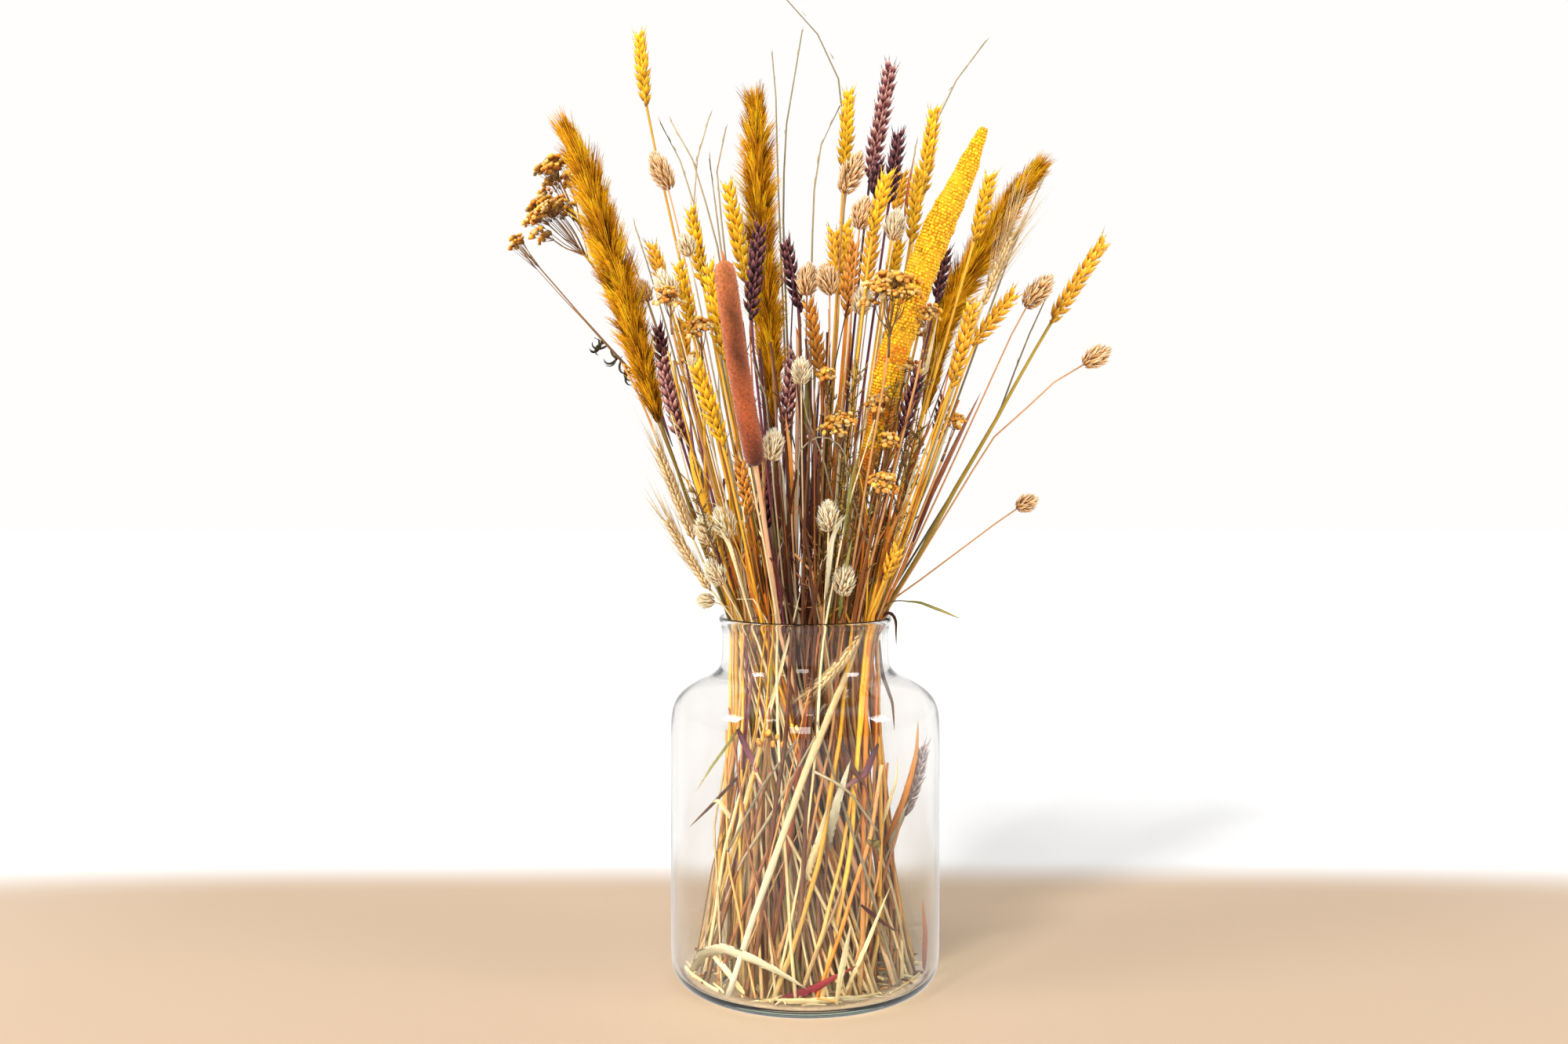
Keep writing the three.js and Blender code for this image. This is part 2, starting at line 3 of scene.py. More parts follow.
import bmesh
import bpy
import numpy as np
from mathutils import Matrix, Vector


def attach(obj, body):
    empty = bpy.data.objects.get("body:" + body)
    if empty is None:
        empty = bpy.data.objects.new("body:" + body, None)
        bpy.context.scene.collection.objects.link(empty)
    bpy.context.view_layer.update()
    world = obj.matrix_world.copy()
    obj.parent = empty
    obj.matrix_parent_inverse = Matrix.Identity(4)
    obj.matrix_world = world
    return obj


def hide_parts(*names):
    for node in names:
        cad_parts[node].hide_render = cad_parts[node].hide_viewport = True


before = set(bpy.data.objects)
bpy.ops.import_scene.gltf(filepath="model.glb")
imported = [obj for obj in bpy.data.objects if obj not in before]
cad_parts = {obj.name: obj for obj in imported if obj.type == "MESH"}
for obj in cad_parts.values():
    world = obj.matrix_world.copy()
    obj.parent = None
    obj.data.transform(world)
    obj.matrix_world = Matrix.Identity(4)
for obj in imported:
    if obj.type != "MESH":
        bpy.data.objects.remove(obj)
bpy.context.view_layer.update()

# Clear glass vase with a loose dry bouquet. Shapes are worked out in millimetres and
# scaled to metres when a mesh is made.
mm = 0.001
goldenTurn = 2.39996  # radians from one copy to the next, so that none stand in line
dice = np.random.default_rng(7)
scene = bpy.context.scene


# colour and nodes
def hexToLinear(text):
    parts = np.array([int(text[i:i + 2], 16) / 255 for i in (1, 3, 5)])
    return np.where(parts <= 0.04045, parts / 12.92, ((parts + 0.055) / 1.055) ** 2.4)


def opaque(text):
    return (*hexToLinear(text), 1)


def addNode(tree, kind, values=None, links=None, **settings):
    # a link comes from a socket, or from the first output of a node
    node = tree.nodes.new("ShaderNode" + kind)
    for key, value in settings.items():
        setattr(node, key, value)
    for key, value in (values or {}).items():
        node.inputs[key].default_value = value
    for key, source in (links or {}).items():
        socket = source.outputs[0] if hasattr(source, "outputs") else source
        tree.links.new(socket, node.inputs[key])
    return node


def mixColours(tree, share, first, second):
    mix = addNode(tree, "Mix", {6: opaque(first), 7: opaque(second)}, {0: share}, data_type="RGBA")
    return mix.outputs[2]


def newMaterial(name):
    material = bpy.data.materials.new(name)
    material.use_nodes = True
    material.node_tree.nodes.clear()
    return material, material.node_tree


def addObject(name, content):
    thing = bpy.data.objects.new(name, content)
    scene.collection.objects.link(thing)
    return thing


def meshOf(name, bm):
    mesh = bpy.data.meshes.new(name)
    bm.to_mesh(mesh)
    bm.free()
    return mesh


# Dry plant matter: the colour of each straw, husk or hair is kept on the mesh as "tint", and
# "grain" holds each one's own millimetres, so that the fibres run along it wherever it points.
def plantMaterial(name, fibre, contrast, roughness, relief, sheen=0.0, reliefDepth=0.15, shine=0.35):
    material, tree = newMaterial(name)
    tint = addNode(tree, "Attribute", attribute_name="tint")
    grain = addNode(tree, "Attribute", attribute_name="grain")
    along = addNode(tree, "Mapping", {"Scale": (1 / fibre[0], 1 / fibre[0], 1 / fibre[1])},
                    {"Vector": grain.outputs["Vector"]})
    streaks = addNode(tree, "TexNoise", {"Scale": 1.0, "Detail": 3.0, "Roughness": 0.6}, {"Vector": along})
    shade = addNode(tree, "MapRange", {"From Min": 0.32, "From Max": 0.68, "To Min": 1 - contrast,
                                       "To Max": 1 + 0.45 * contrast}, {"Value": streaks})
    colour = addNode(tree, "VectorMath", None, {0: tint, 1: shade}, operation="MULTIPLY")
    gloss = addNode(tree, "MapRange", {"From Min": 0.3, "From Max": 0.7, "To Min": roughness[0],
                                       "To Max": roughness[1]}, {"Value": streaks})
    bump = addNode(tree, "Bump", {"Strength": relief, "Distance": reliefDepth * mm}, {"Height": streaks})
    shader = addNode(tree, "BsdfPrincipled",
                     {"Specular IOR Level": shine, "Sheen Weight": sheen, "Sheen Roughness": 0.5},
                     {"Base Color": colour, "Roughness": gloss, "Normal": bump})
    addNode(tree, "OutputMaterial", None, {"Surface": shader})
    return material


# the stage: camera at standing-object height, plain pale floor and soft studio light
stage = {
    "cameraPlace": (-0.0205, -1.348, 0.481), "pitch": -1.72, "lens": 32.04, "film": 36, "nearest": 0.02,
    "floorNear": "#C9AF93", "floorFar": "#FFFFFF", "floorSize": 24.0, "paintEdge": (0.27, 0.42),
    "paintStretch": 0.26, "backdropFrom": (0.7, 2.6), "backdropLight": 0.3,
    "sky": "#FFFEFD", "skyLight": 0.4, "flags": "#D6D3D0", "flagEdge": (0.72, 0.95),
    "frontRoom": 0.1, "frontEdge": (-0.1, -0.45),
    "sunFrom": (-0.62, -0.85, 0.95), "sun": 1.95, "sunWidth": 9, "lampAim": (0, 0, 0.5),
    "lamps": (  # name, place, width, watts, whether the glass mirrors it
        ("leftLamp", (-1.75, -0.6, 1.4), 0.55, 20.0, True),
        ("rightLamp", (1.75, -0.6, 1.35), 0.55, 14.0, True),
        ("topLamp", (0.1, -0.9, 2.0), 0.16, 3.0, False),
        ("frontLamp", (-0.2, -2.3, 0.85), 0.7, 16.0, False),
    ),
}


def makeCamera():
    lens = bpy.data.cameras.new("camera")
    lens.lens = stage["lens"]
    lens.sensor_width = stage["film"]
    lens.clip_start = stage["nearest"]
    camera = addObject("camera", lens)
    camera.location = stage["cameraPlace"]
    camera.rotation_euler = (math.radians(90 + stage["pitch"]), 0, 0)
    scene.camera = camera
    scene.view_settings.view_transform = "Standard"


def makeWorld():
    # a white cyclorama with a grey flag at each side, which draws the edges of the glass; what it
    # throws on matt things is dimmer than it looks, so that the key light can model them
    world = bpy.data.worlds.new("studio")
    world.use_nodes = True
    scene.world = world
    tree = world.node_tree
    back = tree.nodes["Background"]
    toward = addNode(tree, "TexCoord")
    split = addNode(tree, "SeparateXYZ", None, {0: toward.outputs["Generated"]})
    side = addNode(tree, "Math", None, {0: split.outputs["X"]}, operation="ABSOLUTE")
    rays = addNode(tree, "LightPath")
    seen = addNode(tree, "Math", {0: 1.0}, {1: rays.outputs["Is Camera Ray"]}, operation="SUBTRACT")
    start, end = stage["flagEdge"]
    flag = addNode(tree, "MapRange", {"From Min": start, "From Max": end}, {"Value": side, "To Max": seen},
                   interpolation_type="SMOOTHSTEP")
    tree.links.new(mixColours(tree, flag, stage["sky"], stage["flags"]), back.inputs["Color"])
    dim = addNode(tree, "MapRange", {"To Min": 1.0, "To Max": stage["skyLight"]},
                  {"Value": rays.outputs["Diffuse Depth"]})
    # the room in front of the vase is dimmer, so its reflection veils little of the stems in the glass
    start, end = stage["frontEdge"]
    front = addNode(tree, "MapRange", {"From Min": start, "From Max": end, "To Min": 1.0,
                                       "To Max": stage["frontRoom"]}, {"Value": split.outputs["Y"]})
    veil = addNode(tree, "Mix", {2: 1.0}, {0: rays.outputs["Is Glossy Ray"], 3: front})
    power = addNode(tree, "Math", None, {0: dim, 1: veil}, operation="MULTIPLY")
    tree.links.new(power.outputs[0], back.inputs["Strength"])


def makeLamps():
    light = bpy.data.lights.new("keySun", "SUN")
    light.energy = stage["sun"]
    light.angle = math.radians(stage["sunWidth"])
    sun = addObject("keySun", light)
    sun.rotation_euler = Vector(stage["sunFrom"]).to_track_quat("Z", "Y").to_euler()
    sun.visible_glossy = False  # the two side lamps alone shine in the glass
    for name, place, width, watts, mirrored in stage["lamps"]:
        light = bpy.data.lights.new(name, "AREA")
        light.size = width
        light.energy = watts
        lamp = addObject(name, light)
        lamp.location = place
        lamp.visible_glossy = mirrored
        aim = Vector(stage["lampAim"]) - Vector(place)
        lamp.rotation_euler = aim.to_track_quat("-Z", "Y").to_euler()


def makeFloor():
    bm = bmesh.new()
    bmesh.ops.create_grid(bm, x_segments=8, y_segments=8, size=stage["floorSize"] / 2)
    mesh = meshOf("floor", bm)
    floor = addObject("floor", mesh)
    floor.visible_glossy = False  # so white a floor would veil the front of the glass
    # matt painted board, warm under the vase and paling to the backdrop's white further out
    material, tree = newMaterial("mattPaintedBoard")
    place = addNode(tree, "TexCoord")
    wide = addNode(tree, "Mapping", {"Scale": (stage["paintStretch"], 1.0, 1.0)},
                   {"Vector": place.outputs["Object"]})
    # the length of the squares keeps the far edge of the paint nearly straight
    square = addNode(tree, "VectorMath", None, {0: wide, 1: wide}, operation="MULTIPLY")
    far = addNode(tree, "VectorMath", None, {0: square}, operation="LENGTH")
    start, end = stage["paintEdge"]
    fade = addNode(tree, "MapRange", {"From Min": start ** 2, "From Max": end ** 2},
                   {"Value": far.outputs["Value"]}, interpolation_type="SMOOTHSTEP")
    paint = mixColours(tree, fade, stage["floorNear"], stage["floorFar"])
    # the distance is lit as a backdrop is, so that no horizon shows
    away = addNode(tree, "VectorMath", None, {0: place.outputs["Object"]}, operation="LENGTH")
    start, end = stage["backdropFrom"]
    lit = addNode(tree, "MapRange", {"From Min": start, "From Max": end, "To Max": stage["backdropLight"]},
                  {"Value": away.outputs["Value"]})
    shader = addNode(tree, "BsdfPrincipled",
                     {"Roughness": 0.55, "Specular IOR Level": 0.3, "Emission Color": (1, 1, 1, 1)},
                     {"Base Color": paint, "Emission Strength": lit})
    addNode(tree, "OutputMaterial", None, {"Surface": shader})
    mesh.materials.append(material)


makeCamera()
makeWorld()
makeLamps()
makeFloor()
print("stage ready")

# where the stems run: the same winding fan as the solids
fan = {
    "foot": 9.4, "footRise": 0.62, "slopeFrom": 9.35, "neckLevel": 320.0, "apex": 150.0, "bundle": 62.0,
    "spread": 1.68, "twist": 80.0, "blend": 20.0, "straightAbove": 200.0, "middle": 250, "lip": 345.0,
    "rounds": 7, "eye": np.array([-20.5, -1348.0, 481.0]),
}


def fanFactor(z, spread=fan["spread"], twist=fan["twist"]):
    turn = spread * complex(math.cos(math.radians(twist)), math.sin(math.radians(twist)))
    slope = (1 - turn) / (fan["neckLevel"] - fan["slopeFrom"])
    h = z - fan["neckLevel"]
    blend = h if h > fan["straightAbove"] else fan["blend"] * math.log1p(math.exp(h / fan["blend"]))
    return 1 + slope * h + (1 / (fan["neckLevel"] - fan["apex"]) - slope) * blend


def inFan(neck, z, **bundle):
    place = neck * fanFactor(z, **bundle)
    return np.array([place.real, place.imag, z])


def atDepth(place, depth):
    f = 1 - depth / fan["eye"][1]
    eye = fan["eye"]
    return np.array([eye[0] + (place[0] - eye[0]) * f, depth, eye[2] + (place[1] - eye[2]) * f])


def inRow(place, row):
    point = atDepth(place, 0)
    for _ in range(fan["rounds"]):
        point = atDepth(place, row * (point[2] - fan["apex"]) / (fan["neckLevel"] - fan["apex"]))
    return point


def neckPlace(point):
    neck = complex(point[0], point[1]) / fanFactor(point[2])
    return neck * min(1, fan["bundle"] / abs(neck))


# paths
def smoothPath(points, span=30.0):
    # a curve through the points with even bends, in steps of about a quarter of span
    points = np.array(points, float)
    dense = [points[:1]]
    for a, b in zip(points[:-1], points[1:]):
        count = max(1, int(round(np.linalg.norm(b - a) / span)))
        dense.append(a + (b - a) * (np.arange(1, count + 1) / count)[:, None])
    p = np.vstack(dense)
    ext = np.vstack([2 * p[0] - p[1], p, 2 * p[-1] - p[-2]])
    t = np.linspace(0, 1, 5)[:-1, None]
    out = []
    for a, b, c, d in zip(ext, ext[1:], ext[2:], ext[3:]):
        out.append(0.5 * (2 * b + (c - a) * t + (2 * a - 5 * b + 4 * c - d) * t ** 2
                          + (3 * b - a - 3 * c + d) * t ** 3))
    q = np.vstack(out + [p[-1:]])
    s = np.concatenate([[0], np.cumsum(np.linalg.norm(np.diff(q, axis=0), axis=1))])
    tangent = np.gradient(q, s, axis=0)
    tangent /= np.linalg.norm(tangent, axis=1)[:, None]
    return {"points": q, "s": s, "tangent": tangent, "length": s[-1]}


def alongPath(path, local, twist=None):
    # sets what was made along +Z along the path, and carries on straight past its ends
    z = local[:, 2]
    s = np.clip(z, 0, path["length"])
    place = np.stack([np.interp(s, path["s"], path["points"][:, k]) for k in range(3)], 1)
    tangent = np.stack([np.interp(s, path["s"], path["tangent"][:, k]) for k in range(3)], 1)
    tangent /= np.linalg.norm(tangent, axis=1)[:, None]
    across = np.cross(np.array([0.03, 1.0, 0.0]), tangent)
    across /= np.linalg.norm(across, axis=1)[:, None]
    back = np.cross(tangent, across)
    x, y = local[:, 0], local[:, 1]
    if twist is not None:
        c, n = np.cos(twist), np.sin(twist)
        x, y = x * c - y * n, x * n + y * c
    return place + tangent * (z - s)[:, None] + across * x[:, None] + back * y[:, None]


# shapes made once with bmesh and then set in place many times
def addRow(bm, profile, scale=1):
    row = [bm.verts.new((r * scale, 0, z * scale)) for r, z in profile]
    return [bm.edges.new(pair) for pair in zip(row[:-1], row[1:])]


def spinRound(bm, steps, weld):
    bmesh.ops.spin(bm, geom=bm.verts[:] + bm.edges[:], cent=(0, 0, 0), axis=(0, 0, 1), dvec=(0, 0, 0),
                   angle=2 * math.pi, steps=steps, use_merge=True)
    bmesh.ops.remove_doubles(bm, verts=bm.verts, dist=weld)


def shapeOf(bm):
    bm.verts.index_update()
    verts = np.array([v.co[:] for v in bm.verts])
    loops = np.array([v.index for f in bm.faces for v in f.verts])
    sizes = np.array([len(f.verts) for f in bm.faces])
    bm.free()
    return {"verts": verts, "loops": loops, "sizes": sizes}


def ball(around, rings):
    bm = bmesh.new()
    bmesh.ops.create_uvsphere(bm, u_segments=around, v_segments=rings, radius=0.5)
    bmesh.ops.translate(bm, verts=bm.verts, vec=(0, 0, 0.5))
    return bm


def kernelShape(around, rings, widest, keel=0.0, point=1.0):
    # a husk of unit length: fullest at widest, drawn out to a point, with a keel down one side
    bm = ball(around, rings)
    for v in bm.verts:
        t = min(max(v.co.z, 0), 1)
        full = (t / widest) ** 0.6 if t < widest else max(0, (1 - t) / (1 - widest)) ** point
        side = Vector((v.co.x, v.co.y, 0))
        if side.length > 1e-6:
            side = side.normalized() * 0.5 * full
            side.x *= 1 + keel * max(0, side.x) * 2
        v.co = (side.x, side.y, t)
    return shapeOf(bm)


def tubeShape(around, rings, cut=1.0):
    bm = bmesh.new()
    bmesh.ops.create_cone(bm, cap_ends=True, segments=around, radius1=1, radius2=cut, depth=1)
    bmesh.ops.translate(bm, verts=bm.verts, vec=(0, 0, 0.5))
    for k in range(1, rings):
        bmesh.ops.bisect_plane(bm, geom=bm.verts[:] + bm.edges[:] + bm.faces[:],
                               plane_co=(0, 0, k / rings), plane_no=(0, 0, 1))
    return shapeOf(bm)


def bladeShape(rings, fold=0.25, thick=0.05):
    # a leaf of unit length and width, folded a little along its rib
    bm = bmesh.new()
    bmesh.ops.create_grid(bm, x_segments=4, y_segments=rings, size=0.5)
    for v in bm.verts:
        t = v.co.y + 0.5
        wide = (math.sin(math.pi * min(1, 0.06 + 0.94 * t) ** 0.8) ** 0.7) if t < 1 else 0.02
        x = v.co.x * max(wide, 0.03)
        v.co = (x, fold * abs(x), t)
    bmesh.ops.solidify(bm, geom=bm.faces[:], thickness=thick)
    bmesh.ops.recalc_face_normals(bm, faces=bm.faces)
    return shapeOf(bm)


def buttonShape(around, rings, lumps):
    # a dry floret: narrow at the stalk, flat and lumpy on top
    bm = ball(around, rings)
    for v in bm.verts:
        t = v.co.z
        a = math.atan2(v.co.y, v.co.x)
        r = math.hypot(v.co.x, v.co.y)
        r *= 0.45 + 0.75 * min(1, t * 1.5) + 0.14 * lumps * t * math.sin(5 * a + 9 * t)
        v.co = (r * math.cos(a), r * math.sin(a), t * (1 - 0.15 * lumps * math.cos(3 * a) * (t > 0.7)))
    return shapeOf(bm)


shapes = {
    "floret": kernelShape(7, 6, 0.36, keel=0.25, point=0.8),
    "glume": kernelShape(5, 5, 0.4, keel=0.3, point=0.7),
    "scale": kernelShape(4, 4, 0.42, keel=0.4, point=0.75),
    "grain": kernelShape(5, 4, 0.5, point=0.5),
    "button": buttonShape(7, 5, 1.0),
    "bristle": tubeShape(3, 3, 0.2),
    "beard": tubeShape(3, 1, 0.15),
    "hair": tubeShape(3, 1, 0.2),
    "straw": tubeShape(5, 18),
    "twig": tubeShape(5, 6, 0.8),
    "fine": tubeShape(3, 4, 0.7),
    "blade": bladeShape(14),
    "leaflet": kernelShape(4, 4, 0.45),
}
print("shapes ready")


def newHeap():
    return {"verts": [], "loops": [], "sizes": [], "slots": [], "tint": [], "grain": [], "count": 0}


def addTo(heap, verts, shape, copies, tint, grain, slot=0):
    v = len(shape["verts"])
    offsets = heap["count"] + np.arange(copies) * v
    heap["loops"].append((shape["loops"][None] + offsets[:, None]).ravel())
    heap["sizes"].append(np.tile(shape["sizes"], copies))
    heap["slots"].append(np.full(len(shape["sizes"]) * copies, slot))
    heap["verts"].append(verts)
    heap["tint"].append(tint)
    heap["grain"].append(grain)
    heap["count"] += v * copies


def turned(lean, turn, spin=0.0):
    # local Z leant from the axis by lean towards the side turn, after spin about itself
    lean, turn, spin = np.broadcast_arrays(np.atleast_1d(lean).astype(float), turn, spin)
    cl, sl, ct, st, cs, ss = (f(a) for a in (lean, turn, spin) for f in (np.cos, np.sin))
    zero, one = np.zeros_like(cl), np.ones_like(cl)
    about = np.stack([cs, -ss, zero, ss, cs, zero, zero, zero, one], -1).reshape(-1, 3, 3)
    tip = np.stack([cl, zero, sl, zero, one, zero, -sl, zero, cl], -1).reshape(-1, 3, 3)
    swing = np.stack([ct, -st, zero, st, ct, zero, zero, zero, one], -1).reshape(-1, 3, 3)
    return swing @ tip @ about


def blendColours(colours, t):
    # colours down a list of hex values, for t from 0 to 1
    table = np.array([hexToLinear(c) for c in colours])
    t = np.clip(t, 0, 1) * (len(table) - 1)
    return np.stack([np.interp(t, np.arange(len(table)), table[:, k]) for k in range(3)], -1)


def ownGrain(size):
    # where in the grain each straw or husk lies, in millimetres, so that no two match
    return dice.uniform(-400, 400, size)


def anyTurn(count=None):
    return dice.uniform(0, 6.28, count)


def scatter(heap, shape, places, turns, scales, colours, path=None, shade=0.12, slot=0, bend=None,
            tone=None):
    # copies of one shape: each turned, sized, tinted from its root to its tip, and set in place
    copies = len(places)
    base = shape["verts"]
    local = base[None] * np.asarray(scales, float).reshape(-1, 1, 3)
    local = np.broadcast_to(local, (copies, len(base), 3))
    grain = local + ownGrain((copies, 1, 3))
    t = base[None, :, 2]
    if bend is not None:  # each copy curls towards its own +X as it rises
        local = local + np.asarray(bend).reshape(-1, 1, 1) * (t ** 2)[..., None] * [1, 0, 0]
    world = np.einsum("nvk,njk->nvj", local, turns) + np.asarray(places)[:, None, :]
    flat = world.reshape(-1, 3)
    if path is not None:
        flat = alongPath(path, flat)
    tint = blendColours(colours, np.broadcast_to(t, (copies, len(base))))
    own = 1 + shade * dice.standard_normal((copies, 1, 1))
    if tone is not None:
        own = own * np.asarray(tone).reshape(-1, 1, 1)
    tint = np.clip(tint * np.clip(own, 0.35, 1.6), 0, 1)
    addTo(heap, flat, shape, copies, tint.reshape(-1, 3), grain.reshape(-1, 3), slot)


stalkForm = {"jointSwell": 0.22, "jointSharpness": 900, "waves": (9, 7), "shade": 0.24, "tones": (0.36, 1.25)}


def straw(heap, points, radii, colours, shape="straw", sway=0.6, slot=0, joints=0, span=30.0, flat=1.0,
          tone=0.96):
    # one stalk through points, its radius and colour given from foot to tip
    path = smoothPath(points, span)
    base = shapes[shape]["verts"]
    t = base[:, 2]
    r = np.interp(t, np.linspace(0, 1, len(radii)), radii)
    if joints:  # a node every so often, where the stalk swells a little
        near = ((t * joints + 0.5) % 1 - 0.5) ** 2
        r = r * (1 + stalkForm["jointSwell"] * np.exp(-near * stalkForm["jointSharpness"]))
    local = np.stack([base[:, 0] * r, base[:, 1] * r * flat, t * path["length"]], 1)
    for axis, (wave, start) in enumerate(zip(stalkForm["waves"], anyTurn(2))):
        local[:, axis] += sway * np.sin(t * wave + start) * np.sin(math.pi * t)
    shade = np.clip(tone + stalkForm["shade"] * dice.standard_normal(), *stalkForm["tones"])
    tint = blendColours(colours, t) * shade
    addTo(heap, alongPath(path, local), shapes[shape], 1, np.clip(tint, 0, 1), local + ownGrain(3), slot)


def blade(heap, points, width, colours, twist=1.0, slot=0, span=12.0, turn=None):
    path = smoothPath(points, span)
    base = shapes["blade"]["verts"]
    t = base[:, 2]
    local = np.stack([base[:, 0] * width, base[:, 1] * width, t * path["length"]], 1)
    turn = (anyTurn() if turn is None else turn) + twist * t * dice.uniform(0.5, 1.5)
    tint = blendColours(colours, t) * (1 + 0.12 * dice.standard_normal())
    addTo(heap, alongPath(path, local, turn), shapes["blade"], 1, np.clip(tint, 0, 1), local + ownGrain(3),
          slot)


def makePiece(name, heap, skins, nodes=()):
    verts = np.vstack(heap["verts"]) * mm
    loops = np.concatenate(heap["loops"])
    sizes = np.concatenate(heap["sizes"])
    mesh = bpy.data.meshes.new(name)
    mesh.vertices.add(len(verts))
    mesh.vertices.foreach_set("co", verts.ravel())
    mesh.loops.add(len(loops))
    mesh.loops.foreach_set("vertex_index", loops)
    mesh.polygons.add(len(sizes))
    mesh.polygons.foreach_set("loop_start", np.concatenate([[0], np.cumsum(sizes)[:-1]]))
    mesh.polygons.foreach_set("material_index", np.concatenate(heap["slots"]))
    mesh.polygons.foreach_set("use_smooth", np.ones(len(sizes), bool))
    mesh.update(calc_edges=True)
    tint = np.ones((len(verts), 4))
    tint[:, :3] = np.vstack(heap["tint"])
    mesh.attributes.new("tint", "FLOAT_COLOR", "POINT").data.foreach_set("color", tint.ravel())
    grain = np.vstack(heap["grain"])
    mesh.attributes.new("grain", "FLOAT_VECTOR", "POINT").data.foreach_set("vector", grain.ravel())
    for skin in skins:
        mesh.materials.append(materials[skin])
    piece = addObject(name, mesh)
    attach(piece, "root")
    if nodes:
        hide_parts(*nodes)


# the vase: blown clear soda glass, fire-polished at the lip, thick and faintly green at the foot
vaseForm = {
    "outer": [(0, 2.2), (60, 2.0), (104, 1.0), (112, 0.0), (117, 0.6), (122.6, 3.8), (127, 9.4),
              (129.4, 17.4), (130, 27), (130, 70), (130, 130), (130, 190), (130, 238), (129.6, 252),
              (127.8, 263), (123.8, 271.6), (117, 278.2), (108, 283.8), (98.5, 288.6), (90, 293.2),
              (84.2, 298.2), (81.4, 304), (80.5, 311), (80.5, 322), (80.6, 334), (81.2, 341),
              (82.8, 344.8), (83.5, 347.2), (83.0, 349.3), (81.6, 350)],
    "inner": [(80, 350), (78.5, 349.2), (77.3, 347), (76.6, 343), (76.5, 334), (76.5, 322), (76.6, 310),
              (77.5, 303.2), (80.6, 297.6), (86.6, 292.8), (95, 288.2), (104.4, 283.4), (113, 278.2),
              (120, 271.6), (124.3, 263), (125.8, 252), (126, 238), (126, 190), (126, 130), (126, 70),
              (126, 28), (125.5, 18.6), (123.6, 12), (119.6, 8.9), (112, 8.2), (98, 8.6), (50, 8.8),
              (0, 8.8)],
    "steps": 104, "softenings": 2, "softness": 0.25, "weld": 1e-6,
}


def glassMaterial():
    # soda-lime glass, blown: clear, with slow ripples in its surface
    material, tree = newMaterial("blownSodaGlass")
    place = addNode(tree, "TexCoord")
    ripple = addNode(tree, "TexNoise", {"Scale": 9.0, "Detail": 1.0}, {"Vector": place.outputs["Object"]})
    bump = addNode(tree, "Bump", {"Strength": 0.12, "Distance": 0.002}, {"Height": ripple})
    glass = addNode(tree, "BsdfPrincipled", {"Base Color": (0.965, 0.95, 0.935, 1), "Roughness": 0.0,
                                             "IOR": 1.48, "Transmission Weight": 1.0}, {"Normal": bump})
    clear = addNode(tree, "BsdfTransparent", {"Color": (0.89, 0.9, 0.88, 1)})
    rays = addNode(tree, "LightPath")  # lamps shine through to the stems
    shader = addNode(tree, "MixShader", None, {0: rays.outputs["Is Shadow Ray"], 1: glass, 2: clear})
    depth = addNode(tree, "VolumeAbsorption", {"Color": opaque("#6FA36B"), "Density": 4.5})
    addNode(tree, "OutputMaterial", None, {"Surface": shader, "Volume": depth})
    return material


def makeVase():
    bm = bmesh.new()
    edges = addRow(bm, vaseForm["outer"] + vaseForm["inner"], mm)
    bmesh.ops.subdivide_edges(bm, edges=edges, cuts=1)
    inside = [v for v in bm.verts if vaseForm["weld"] < v.co.x]  # all but the two points on the axis
    for _ in range(vaseForm["softenings"]):
        bmesh.ops.smooth_vert(bm, verts=inside, factor=vaseForm["softness"], use_axis_x=True, use_axis_z=True)
    spinRound(bm, vaseForm["steps"], vaseForm["weld"])
    bmesh.ops.dissolve_degenerate(bm, edges=bm.edges, dist=1e-7)
    bmesh.ops.recalc_face_normals(bm, faces=bm.faces)
    for face in bm.faces:
        face.smooth = True
    mesh = meshOf("glassVase", bm)
    mesh.materials.append(glassMaterial())
    piece = addObject("glassVase", mesh)
    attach(piece, "root")
    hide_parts("vase")


makeVase()
print("vase ready")

# stem colours from foot to head
stemColours = {
    "gold": ["#DDBC7E", "#E2AC4C", "#F4B43C", "#F8B22E", "#F0AE2E", "#DAA430"],
    "orange": ["#D2A66C", "#DA8636", "#F08C28", "#EC8422", "#DC7C24"],
    "plum": ["#A4805A", "#845040", "#7A4244", "#763A42", "#66323C"],
    "cream": ["#E6CC98", "#E2C288", "#F2DCA8", "#E6CC98", "#EAD2A0"],
    "tan": ["#D4AE7A", "#C68C54", "#D49C62", "#CA8E52"],
    "olive": ["#9A8650", "#92783A", "#A08430", "#B4942E"],
    "brown": ["#9C6A44", "#8A4E28", "#98582A", "#8E5024"],
    "salmon": ["#DDBC92", "#D49C6C", "#DEAA80", "#D49E72"],
    "grey": ["#B4A486", "#92805E", "#96876C", "#9C8A6A"],
    "dark": ["#8E6244", "#663A20", "#5C3218", "#62381C"],
    "bleached": ["#B8925E", "#E4C894", "#FBF0D4"],
}

